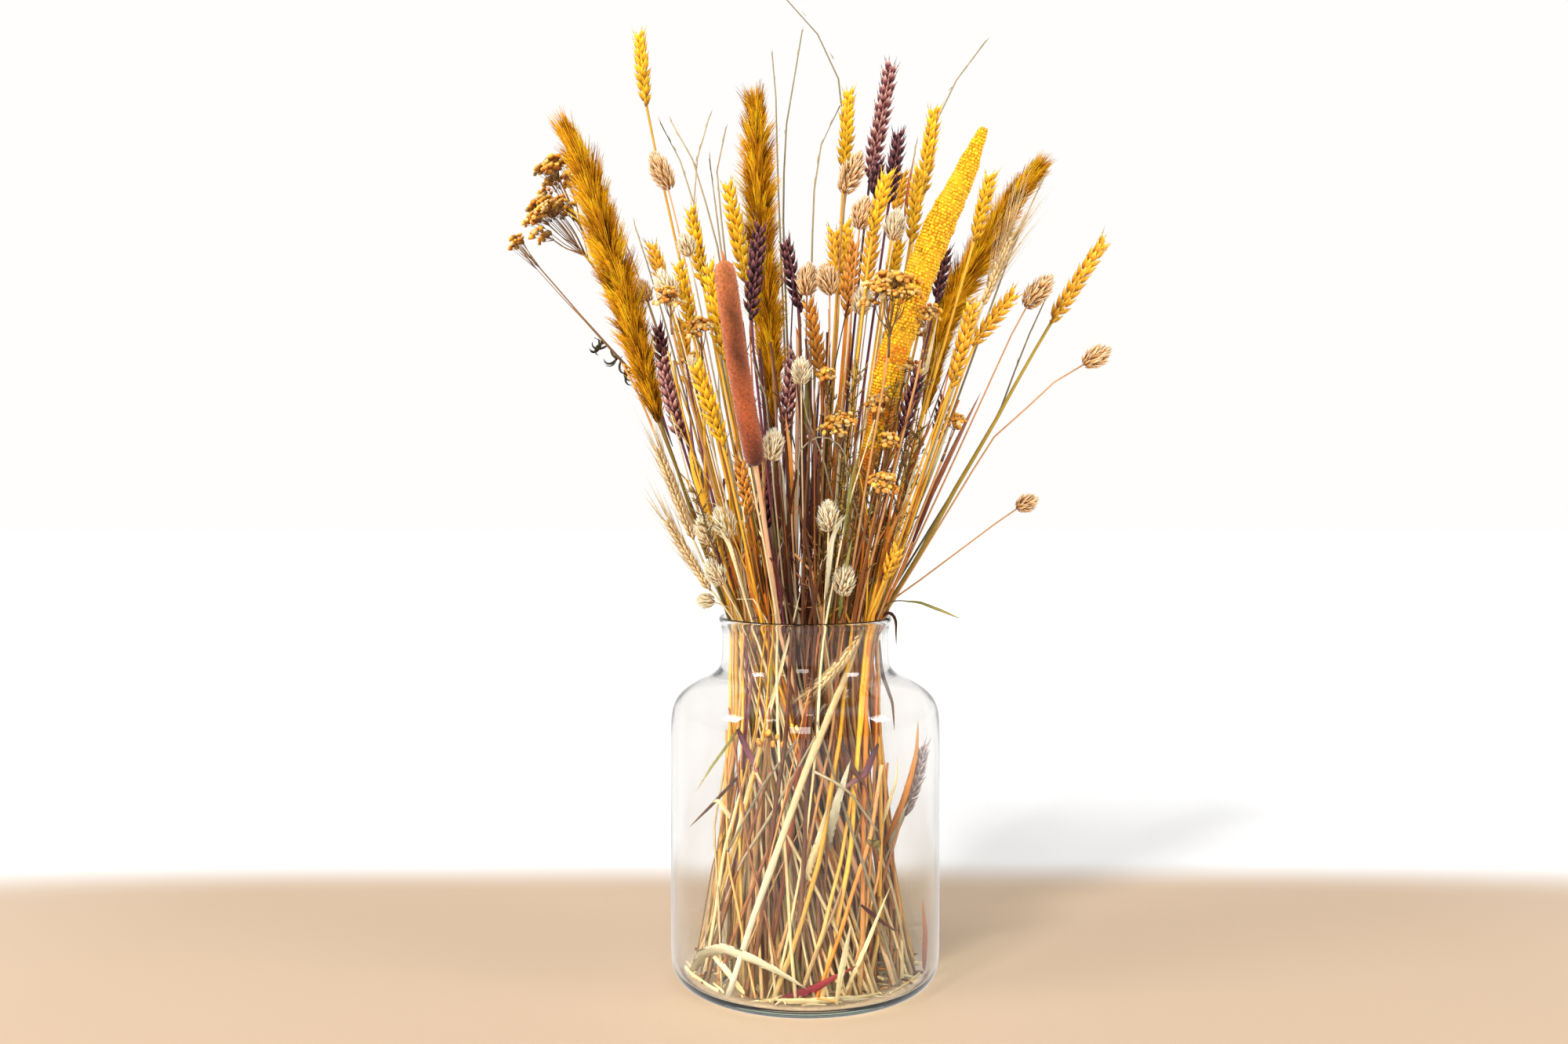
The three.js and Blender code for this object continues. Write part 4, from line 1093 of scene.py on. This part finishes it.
def makeNode(name, kind, plants, ownLooks):
    heap = newHeap()
    addHead, husk = heads[kind]
    for member, look in zip(plants, ownLooks):
        plant = standPlant(*member)
        plant["look"] = look
        addHead(heap, plant)
        if kind == "grass":
            continue
        radii, colour = stems.get(name, stems[kind])
        if not colour:
            colour = {"wheat": wheat, "canary": canary}[kind][look][-1]
        addStem(heap, plant, radii, stemColours[colour], slot=1, joints=5)
    for row, axis, half, colour in stalks.get(name, []):
        plant = standPlant(row, axis)
        radii = [half * 0.7, half, half, half * 0.6]
        straw(heap, wholeStalk(plant, 4, tip=False), radii, stemColours[colour], slot=1, joints=4, flat=0.42)
    makePiece(name + "_dry", heap, (husk, "straw"), (name,))


def makeBouquet():
    for family, nodes in bouquet.items():
        kind, usual, slotName = families[family]
        for k, plants in enumerate(nodes):
            name = family if len(nodes) == 1 else f"{family}_{k + 1:02d}"
            ownLooks = looks.get(name, [usual] * len(plants))
            makeNode(name, kind, plants, ownLooks)
    print("bouquet ready")


makeBouquet()

# the leaves at the lip, the feathery frond, the ear that hangs upside down in the neck and the
# loose leaves on the glass floor
leafColours = {
    "russet": ["#7A3A1C", "#AC562A", "#C87844"], "straw": ["#D8BE84", "#F0DCA8", "#E0C896"],
    "olive": ["#6E6830", "#8E8440", "#A8964E"], "dark": ["#3E2418", "#5A3420", "#744628"],
    "yellow": ["#E09A18", "#F4BC2A", "#FAD050"], "pale": ["#B4A684", "#D8CCA8", "#C8B994"],
    "crimson": ["#5A1420", "#8E2430", "#A84A40"],
    "orange": ["#B8641C", "#E08A30", "#F0AA5C"], "grey": ["#9A9074", "#C0B494", "#D4C8A8"],
    "mauve": ["#4A2028", "#7A404A", "#A87870"], "umber": ["#6A3626", "#9C5C40", "#BC8468"],
}


def makeLeafBlades():
    heap = newHeap()
    plant = standPlant(-21, [[101, 414], [121, 466], [139, 504], [155, 537], [169, 565]])
    blade(heap, plant["path"]["points"][::4], 5.2, leafColours["umber"], 1.6, turn=-0.9)
    addStem(heap, plant, [1.4, 1.3, 1.1], stemColours["orange"], slot=1, joints=4)
    lipPoint = np.array(plant["stem"][2])
    curl = [atDepth(v, lipPoint[1] - 4) for v in ([80, 361], [88, 364], [111, 362], [133, 354], [150, 347])]
    blade(heap, np.vstack([lipPoint[None], curl]), 5.4, leafColours["olive"], 1.6, turn=0.9)
    makePiece("leaf_blades_dry", heap, ("leaf", "straw"), ("leaf_blades",))


foliage = {
    "leaflets": 46, "leaflet": (1.0, 2.2, 7.6), "spacing": 2.2,
    "colours": ["#4A3414", "#94702C", "#E0BC70"], "rib": ["#7A5A2C", "#684C24", "#54401E"],
}


def addSpray(heap, path, reachLow, reachHigh, leaflets):
    # a dry frond: fine side ribs all round, each set with small pointed leaflets
    first, last = 0.03, 0.97
    for i in range(leaflets):
        t = first + (last - first) * (i + 0.5) / leaflets
        reach = (reachLow + (reachHigh - reachLow) * t) * dice.uniform(0.65, 1.1)
        at = goldenTurn * i + dice.normal(0, 0.3)
        lean = dice.uniform(0.7, 1.05)
        root = np.array([0, 0, t * path["length"] - 0.3 * reach])
        tip = root + around(reach * math.sin(lean), at, reach * math.cos(lean))
        middle = (root + tip) / 2 + [0, 0, -0.08 * reach]
        twig(heap, [root, middle, tip], 0.36, path, "fine", foliage["rib"], 1)
        n = max(5, int(reach / foliage["spacing"]))
        s = np.linspace(0.2, 1.0, n)[:, None]
        places = root * (1 - s) ** 2 + 2 * middle * s * (1 - s) + tip * s ** 2
        turn = at + np.where(np.arange(n) % 2, 1.0, -1.0) * dice.uniform(0.5, 1.1, n)
        size = np.array(foliage["leaflet"]) * dice.uniform(0.6, 1.2, (n, 1))
        scatter(heap, shapes["leaflet"], places, turned(dice.uniform(0.5, 1.2, n), turn), size,
                foliage["colours"], path, 0.3, bend=dice.uniform(-2.5, 2.5, n))


def makeFrond():
    heap = newHeap()
    plant = standPlant(-35.5, [[45, 368], [88, 579]])
    addSpray(heap, plant["path"], 30, 9, foliage["leaflets"])
    straw(heap, wholeStalk(plant, 4), [1.3, 1.2, 1.0, 0.5], foliage["rib"], "straw", 0.4, 1)
    makePiece("feathery_foliage_dry", heap, ("leaf", "straw"), ("feathery_foliage",))


def makeFallenEar():
    heap = newHeap()
    path = smoothPath([(50, -50, 338), (31, -64, 312), (5, -69.5, 285)], 8)
    addBarley(heap, {"path": path, "form": (36, 0.16)})
    makePiece("barley_04_dry", heap, ("wheat", "straw"), ("barley_04",))


# on the glass floor, in millimetres: whole leaves, husks and broken straws
litter = {
    "leaves": (  # turn in degrees where it starts and ends, heights along it, radius, width, look
        (197, 271, (14, 40, 52, 50, 41, 25), 111.5, 11.0, "pale"),
        (250, 312, (11.5, 13.2, 14, 13.2, 11.5), 108, 6, "straw"),
        (284, 291, (12.8, 40, 62, 84), 110.5, 6, "straw")),
    "husks": (  # look and how many
        ("straw", 90), ("pale", 40), ("russet", 30), ("orange", 30), ("olive", 16), ("yellow", 24)),
    "huskReach": 107, "straws": 58, "strawReach": 116,
    "strawLooks": ("straw", "straw", "pale", "orange", "dark"),
}


def addHusks(heap):
    n = sum(count for _, count in litter["husks"])
    r = litter["huskReach"] * np.sqrt(dice.uniform(0.2, 1, n))
    at = dice.uniform(0, 2 * math.pi, n)
    long = dice.uniform(5, 22, n)
    first = 0
    for look, count in litter["husks"]:
        part = slice(first, first + count)
        first += count
        size = np.stack([np.full(n, 0.9), dice.uniform(1.4, 4.4, n), long], 1)[part]
        places = around(r, at, dice.uniform(9.5, 12.5, n))[part]
        turns = turned(dice.uniform(1.35, 1.58, n)[part], anyTurn(n)[part])
        scatter(heap, shapes["leaflet"], places, turns, size, leafColours[look])


def addBrokenStraws(heap):
    for _ in range(litter["straws"]):
        r, turn, z = dice.uniform(86, 115), dice.uniform(0, 360), dice.uniform(11, 15)
        a = around(r, math.radians(turn), z)
        b = a + around(dice.uniform(14, 46), math.radians(dice.uniform(0, 360)), dice.uniform(-0.5, 4))
        b[:2] *= min(1, litter["strawReach"] / np.linalg.norm(b[:2]))
        look = litter["strawLooks"][dice.integers(0, 5)]
        r = dice.uniform(0.8, 2.3)
        places = [a, (a + b) / 2 + [0, 0, 0.6], b]
        straw(heap, places, [r, r, r * 0.8], leafColours[look], "twig", 0.3, flat=0.6)


def makeLitter():
    heap = newHeap()
    for start, end, heights, radius, width, look in litter["leaves"]:
        a = np.radians(np.linspace(start, end, len(heights)))
        blade(heap, around(radius, a, np.array(heights)), width, leafColours[look], 0.15, turn=0.1)
    addHusks(heap)
    addBrokenStraws(heap)
    makePiece("leaf_litter_dry", heap, ("leaf",), ("leaf_litter",))


makeLeafBlades()
makeFrond()
makeFallenEar()
makeLitter()
print("leaves ready")

# odd leaves and sheaths seen among the heads: row, places from base to tip, width, look, stem
strays = (
    (12, [[84, 640], [90, 681], [99, 714]], 8.5, "yellow", "gold"),
    (-42, [[-45, 352], [-54, 398], [-60, 434]], 9.0, "orange", "orange"),
    (14, [[96, 738], [102, 778], [109, 812]], 4.5, "russet", "brown"),
    (-30, [[-13, 440], [-14, 500], [-20, 552]], 5.0, "orange", "salmon"),
    (-18, [[64, 430], [76, 486], [84, 530]], 5.5, "orange", "orange"),
    (-26, [[92, 452], [104, 500], [124, 540]], 5.0, "russet", "orange"),
    (-34, [[58, 392], [76, 432], [98, 462]], 5.0, "orange", "orange"),
    (-20, [[-96, 452], [-108, 500], [-112, 548]], 4.5, "mauve", "plum"),
    (-8, [[-72, 470], [-82, 540], [-84, 590]], 5.0, "grey", "grey"),
    (-46, [[-66, 392], [-76, 424], [-92, 446]], 4.5, "straw", "cream"),
    (6, [[0, 520], [4, 590], [2, 640]], 4.5, "mauve", "plum"),
    (-12, [[110, 560], [122, 612], [130, 650]], 4.5, "straw", "tan"),
    (24, [[-60, 560], [-70, 640], [-76, 700]], 4.5, "grey", "grey"),
    (-4, [[38, 560], [44, 620], [46, 660]], 4.5, "russet", "brown"),
)
# a leaf caught on the lip, hanging down outside the glass, in millimetres
lipLeaf = ((66, -22, 330), (72, -19, 351), (80.5, -18, 355), (86.4, -17.5, 348), (86.8, -17, 336),
           (87, -17, 322))
# thin straws that stand out of the crowd and bow over: row, then places
bowed = (
    (-46, ([-8, 420], [-6, 508], [6, 520], [17, 523], [30, 518], [39, 505], [42, 450])),
    (-40, ([-62, 430], [-44, 470], [-34, 520], [-38, 560], [-52, 600])),
    (-44, ([60, 420], [44, 470], [50, 520], [64, 556], [82, 572])),
    (-30, ([100, 470], [92, 520], [104, 560], [124, 578])),
    (-36, ([30, 450], [18, 500], [2, 540], [-8, 590])),
)
# feathery sprays: row, places from base to tip, reach of the ribs low and high, how many ribs
sprays = ((-40, [[13, 352], [20, 452]], 22, 13, 26), (-46, [[30, 380], [44, 500]], 22, 11, 26),
          (-30, [[84, 420], [110, 540]], 22, 12, 28), (-34, [[34, 462], [50, 596]], 20, 12, 28),
          (-42, [[-83, 398], [-108, 474]], 14, 8, 18), (-20, [[94, 500], [110, 590]], 20, 10, 20),
          (-16, [[18, 470], [26, 570]], 18, 10, 18))
# small yarrow heads: row, places from base to tip, width and height
sprigs = ((-42, [[30, 496], [34, 548]], [30, 16]), (-32, [[66, 520], [72, 566]], [26, 14]),
          (-50, [[69, 450], [78, 490]], [26, 14]), (-20, [[96, 596], [104, 640]], [28, 16]),
          (-4, [[-104, 560], [-110, 606]], [22, 12]), (-24, [[92, 560], [98, 600]], [24, 14]),
          (20, [[-196, 676], [-216, 702], [-261, 752]], [56, 34]), (-24, [[-98, 590], [-104, 640]], [24, 16]))
# a withered sprig on the side of the left-hand yarrow stalk
withered = {
    "row": 15, "line": ([-168, 587], [-180, 600], [-192, 612], [-203, 618]), "leaflets": 11, "steps": 7,
    "rib": ["#4A4226", "#35301E"], "colours": ["#3E3620", "#2C2616"],
}


def makeStrayLeaves():
    heap = newHeap()
    for row, axis, width, look, stem in strays:
        plant = standPlant(row, axis)
        blade(heap, plant["path"]["points"][::3], width, leafColours[look], 1.4, turn=dice.uniform(-1.2, 0.4))
        addStem(heap, plant, [1.5, 1.4, 1.2, 0.9], stemColours[stem], slot=1, joints=4)
    blade(heap, lipLeaf, 4.2, leafColours["dark"], 0.3)
    for row, line in bowed:
        straw(heap, [inRow(place, row) for place in line], [0.9, 0.8, 0.6], stemColours["grey"][1:], "straw",
              0.3, 1, span=14.0)
    makePiece("strayLeaves", heap, ("leaf", "straw"))


def addWithered(heap):
    rib = smoothPath([inRow(place, withered["row"]) for place in withered["line"]], 8)["points"]
    twig(heap, rib[::4], 0.6, None, "twig", withered["rib"])
    for k in range(withered["leaflets"]):
        heading = math.radians(dice.uniform(165, 285))
        side = dice.choice([-1, 1])
        points = [rib[int(k / withered["leaflets"] * (len(rib) - 1))]]
        for step in range(withered["steps"]):  # each leaflet curls up more and more
            ahead = np.array([math.cos(heading), dice.normal(0, 0.15), math.sin(heading)])
            points.append(points[-1] + ahead * dice.uniform(2.4, 3.4))
            heading += side * (0.12 + 0.11 * step)
        blade(heap, points, 2.4, withered["colours"], 0.5, span=5.0, turn=dice.uniform(-0.6, 0.6))


def makeFoliage():
    heap = newHeap()
    for row, axis, low, high, leaflets in sprays:
        plant = standPlant(row, axis)
        addSpray(heap, plant["path"], low, high, leaflets)
        addStem(heap, plant, [1.2, 1.1, 0.9], foliage["rib"], slot=1)
        straw(heap, plant["path"]["points"][::4], [0.9, 0.4], foliage["rib"], "straw", 0.3, 1)
    addWithered(heap)
    makePiece("dryFoliage", heap, ("leaf", "straw"))


def makeSprigs():
    heap = newHeap()
    for row, axis, form in sprigs:
        plant = standPlant(row, axis, (), form)
        addYarrow(heap, plant)
        addStem(heap, plant, [1.4, 1.3, 1.1], stemColours["brown"], slot=1)
    makePiece("yarrowSprigs", heap, ("yarrow", "straw"))


makeStrayLeaves()
makeFoliage()
makeSprigs()
print("odd leaves ready")

# bare straws that fill the bunch: colours go from side to side as in a bunch tied by colour, and the darker
# ones in the middle also paint shade there
filler = {
    "straws": 190, "outer": 54, "crossing": 40, "core": 59, "neck": 61,
    "floor": 10.3, "foot": 10.5, "leafy": 440,
    "clear": (410, 70),  # below this level, free ends are kept within this radius
    "sheathed": 0.3, "leaved": 0.6, "leafFrom": 352, "leafTop": 430,  # shares, and levels for leaves
    "thinShare": 0.55, "thin": (0.95, 1.6), "thick": (1.6, 2.6),  # radii
    "sectors": (  # right-hand limit in the neck, colours up to it
        (-44, ("cream", "tan", "gold", "gold", "plum")),
        (-20, ("gold", "orange", "gold", "cream", "tan", "brown")),
        # the middle ones hold the darkest straws: straws of darker colours, and also painted shade in the
        # middle of the bunch
        (0, ("plum", "brown", "dark", "dark", "salmon")),
        (12, ("olive", "brown", "dark", "plum")),
        (32, ("cream", "brown", "orange", "tan", "brown")),
        (90, ("orange", "gold", "cream", "orange", "gold", "brown"))),
    "tops": (420, 690), "twists": (-45, 120), "spreads": (1.1, 1.72),
    "leaves": {  # looks of the leaves for each colour of straw
        "cream": ("straw", "pale", "grey"), "tan": ("straw", "grey", "orange"),
        "gold": ("yellow", "straw", "orange"), "orange": ("orange", "russet", "straw"),
        "plum": ("mauve", "russet", "grey"), "brown": ("dark", "russet", "olive"),
        "dark": ("dark", "umber", "grey"), "salmon": ("orange", "straw", "russet"),
        "olive": ("olive", "grey", "dark")},
    "leaners": ("cream", "cream", "tan", "orange", "grey", "brown"),
}


def anyLeaf(colour):
    return leafColours[filler["leaves"][colour][dice.integers(0, 3)]]


def addLeafOf(heap, line, colour, width, swing):
    # a papery sheath that leaves its straw and ends in a free blade
    line = np.array(line, float)
    side = np.append(dice.normal(0, 1, 2), 0)
    side *= swing / np.linalg.norm(side)
    rise = line[-1] - line[-2]
    free = [line[-1] + rise * 0.7 + side * 0.35, line[-1] + rise * 1.3 + side]
    level, reach = filler["clear"]
    for point in free:
        if point[2] < level:  # one that starts in the vase stays clear of the neck's glass
            point[:2] *= min(1, reach / np.linalg.norm(point[:2]))
    look = anyLeaf(colour)
    blade(heap, np.vstack([line, free]), width, look, dice.uniform(0.4, 2.4), 1, 16.0)


def neckOf(i):
    # where straw i stands in the neck: those past the first lot are a ring close to the glass
    if i >= filler["straws"]:
        return filler["neck"] * np.exp(1j * (goldenTurn * i + dice.normal(0, 0.1)))
    neck = filler["core"] * math.sqrt((i + 0.5) / filler["straws"]) * np.exp(1j * (goldenTurn * i + 0.9))
    neck += complex(*dice.normal(0, 1.5, 2))
    return neck * min(1, filler["neck"] / abs(neck))


def placesBelow(neck, outer):
    if outer:  # close to the glass in the neck, and wide of the others below it
        turn = np.angle(neck) + np.radians(dice.uniform(-60, 35)) * np.array([1.0, 0.8, 0.5, 0.15, 0.05])
        wide = np.array([dice.uniform(86, 109), dice.uniform(84, 97), dice.uniform(77, 86), 72, 70.5])
        return list(around(wide, turn, np.array([filler["floor"], 60, 140, 245, 310])))
    twist, spread = dice.uniform(*filler["twists"]), dice.uniform(*filler["spreads"])
    return [inFan(neck, z, spread=spread, twist=twist) for z in (filler["floor"], 60, 130, 250, 320)]


def placesAbove(neck, top):
    stray = neck * dice.uniform(0.75, 1.1) * np.exp(1j * np.clip(dice.normal(0, 0.3), -0.5, 0.5))
    if abs(neck) < 20:
        stray += complex(*dice.normal(0, 7, 2))
    return [inFan(neck, fan["lip"]), inFan((neck + stray) / 2, top * 0.5 + 190), inFan(stray, top)]


def addHusksAlong(heap, line, colour):
    # short husks and withered leaflets along a straw, above the lip
    path = smoothPath(line)
    n = dice.integers(2, 7)
    places = np.stack([np.zeros(n), np.zeros(n), dice.uniform(8, path["length"] - 6, n)], 1)
    turns = turned(dice.uniform(0.15, 0.9, n), anyTurn(n))
    scales = np.stack([np.full(n, 0.8), dice.uniform(1.2, 2.8, n), dice.uniform(7, 18, n)], 1)
    look = anyLeaf(colour)
    scatter(heap, shapes["leaflet"], places, turns, scales, look, path, 0.25, 1, bend=dice.uniform(-4, 4, n))


def addBareStraw(heap, i):
    neck = neckOf(i)
    choice = next(colours for limit, colours in filler["sectors"] if neck.real < limit)
    colour = choice[dice.integers(0, len(choice))]
    top = dice.uniform(*filler["tops"]) - 1.0 * abs(neck) - 1.6 * max(0, -neck.imag - 20)
    low = placesBelow(neck, i >= filler["straws"])
    high = placesAbove(neck, top)
    r = dice.uniform(*filler["thin" if dice.random() < filler["thinShare"] else "thick"])
    # painted shade: those deep in the bunch are darker
    straw(heap, low + high, [r * 1.15, r, r * 0.9, r * 0.75, r * 0.45], stemColours[colour], "straw", 1.0,
          joints=4, flat=dice.uniform(0.5, 1.0), tone=0.48 + 0.52 * abs(neck) / filler["neck"])
    if top > filler["leafy"]:
        addHusksAlong(heap, high, colour)
    if dice.random() < filler["sheathed"]:
        addLeafOf(heap, low[1:4], colour, dice.uniform(3, 6), dice.uniform(4, 14))
    if dice.random() < filler["leaved"] and top > filler["leafTop"]:
        start = dice.uniform(filler["leafFrom"], top - 70)
        line = [inFan(neck, start + rise) for rise in (0, 24, 46)]
        addLeafOf(heap, line, colour, dice.uniform(2.4, 5.5), dice.uniform(4, 20))


def addCrossing(heap, front):
    # a loose straw that leans across in the vase
    turn = math.radians(dice.uniform(175, 365) if front else dice.uniform(0, 180))
    swing = math.radians(dice.uniform(30, 85)) * dice.choice([-1, 1])
    tall = dice.uniform(90, 290)
    foot = around(dice.uniform(92, 111), turn, filler["foot"])
    tip = around(dice.uniform(68, 84), turn + swing * tall / 250, tall)
    middle = (foot + tip) / 2
    middle[:2] *= dice.uniform(84, 92) / np.linalg.norm(middle[:2])
    r = dice.uniform(0.6, 1.8)
    colour = filler["leaners"][dice.integers(0, 6)]
    straw(heap, [foot, middle, tip], [r, r, r * 0.7], stemColours[colour][:2], "straw", 0.8, joints=3,
          flat=dice.uniform(0.5, 1.0))


def makeStraws():
    heaps = [newHeap() for _ in range(4)]
    for i in range(filler["straws"] + filler["outer"]):
        addBareStraw(heaps[i % 4], i)
    for i in range(filler["crossing"]):
        addCrossing(heaps[i % 4], front=i % 4 > 0)
    for k, heap in enumerate(heaps):
        makePiece(f"bareStraws{k + 1}", heap, ("straw", "leaf"))
    print("straws ready")


makeStraws()

# what lies loose in the vase, as seen from the front. Each straw or leaf has its width and look, and
# then the depth, x and z of each place
looseStraws = (
    (3.4, "bleached", ((-43, 53, 339), (-59, 41, 298), (-74, 28, 262), (-88, 1, 199), (-94, -24, 130),
                       (-96, -48, 61), (-88, -74, -22))),
    (2.0, "orange", ((-50, 74, 205), (-66, 62, 130), (-90, 34, 40), (-103, 9, -29))),
    (1.3, "grey", ((-86, 7, 199), (-88, 41, 180), (-80, 70, 140))),
    (1.3, "grey", ((-45, 20, 262), (-78, -38, 190), (-70, -75, 120))),
    (2.2, "cream", ((-26, -116, 6), (-58, -101, -7), (-82, -84, -17))),
    (1.6, "cream", ((-88, 82, -20), (-60, 101, -8), (-28, 115, 4))),
    (1.4, "brown", ((-30, 92, 148), (-50, 74, 84), (-84, 56, -8))),
)
looseLeaves = (
    (6.2, "orange", ((-22, 75, 125), (-24, 84, 143), (-26, 96, 172), (-24, 103, 196), (-22, 108, 217),
                     (-18, 110, 246))),
    (3.6, "straw", ((-30, 76, 150), (-36, 88, 188), (-30, 90, 214))),
    (7.5, "grey", ((-22, 84, 130), (-22, 96, 158), (-20, 104, 176))),
    (8.5, "grey", ((-70, 20, 120), (-84, 30, 165), (-80, 44, 210))),
    (9.0, "straw", ((-84, 2, 96), (-84, 14, 130), (-80, 24, 172))),
    (7.0, "crimson", ((-104, -26, -27), (-105, 10, -14), (-101, 50, 8))),
    (7.0, "mauve", ((-50, -64, 235), (-58, -50, 205), (-74, -40, 170))),
    (7.0, "mauve", ((-45, 70, 222), (-60, 58, 196), (-70, 34, 180))),
    (6.0, "dark", ((-66, 36, 226), (-70, 44, 204), (-66, 58, 184))),
    (3.0, "olive", ((-40, -66, 236), (-38, -90, 204), (-30, -106, 178))),
    (3.2, "dark", ((-40, -62, 196), (-36, -92, 164), (-26, -112, 144))),
    (5.0, "straw", ((-40, -70, 150), (-44, -84, 170), (-40, -90, 168))),
    (3.6, "dark", ((-14, 72, 322), (-12, 74, 296), (-10, 85, 262), (-8, 87, 236))),
    (5.0, "russet", ((-20, 116, 6), (-24, 117, 40), (-26, 114, 74))),
    (4.0, "straw", ((-96, 38, -20), (-90, 60, 30), (-70, 84, 90))),
    (5.5, "straw", ((-90, -60, -18), (-74, -78, 6), (-40, -96, 26))),
    (5.0, "pale", ((-104, 34, -26), (-101, 50, -26), (-96, 66, -24))),
    (4.5, "mauve", ((-80, 56, 66), (-72, 75, 50), (-62, 88, 42), (-56, 94, 49))),
)
# florets that slipped down between the straws, and a withered bud: place, spread, count, colours
fallen = {
    "depth": -66,
    "groups": (((-35, 234), 7, 9, yarrow["colours"][1]), ((-8, 237), 6, 5, yarrow["colours"][0]),
               ((66, 130), 2.5, 5, ["#3E3410", "#6E5C1E", "#8E7A34"])),
}


def addDustyEar(heap):
    path = smoothPath([atDepth(v, -12) for v in ([97, 156], [104, 180], [111, 204], [116, 229])], 12)
    addWheat(heap, {"path": path, "look": "dusty"})
    stem = [atDepth((60, 66), -60), atDepth((78, 112), -26), path["points"][0]]
    straw(heap, stem, [1.2, 1.1], stemColours[wheat["dusty"][-1]], "straw", 0.4, 1)


def addFallen(heap):
    for place, spread, count, colours in fallen["groups"]:
        middle = atDepth(place, fallen["depth"])
        for _ in range(count):
            size = dice.uniform(4.5, 7.5)
            at = middle + dice.normal(0, 1, 3) * [spread, 2.0, spread * 0.6]
            turns = turned(dice.uniform(0.8, 2.2), dice.uniform(3.6, 5.8))
            scatter(heap, shapes["button"], [at], turns, [size, size * 0.7, size * 0.8], colours, None, 0.15)


def placesOf(line):
    return [atDepth((x, z), depth) for depth, x, z in line]


def makeLooseBits():
    heap = newHeap()
    for width, look, line in looseStraws:
        widths = [width, width, width * 0.8]
        straw(heap, placesOf(line), widths, stemColours[look][:3], "straw", 0.5, 1, 3, flat=0.5)
    for width, look, line in looseLeaves:
        blade(heap, placesOf(line), width, leafColours[look], 0.8, turn=dice.uniform(-0.7, 0.3))
    addDustyEar(heap)
    addFallen(heap)
    makePiece("looseBits", heap, ("leaf", "straw"))
    print("loose bits ready")


makeLooseBits()
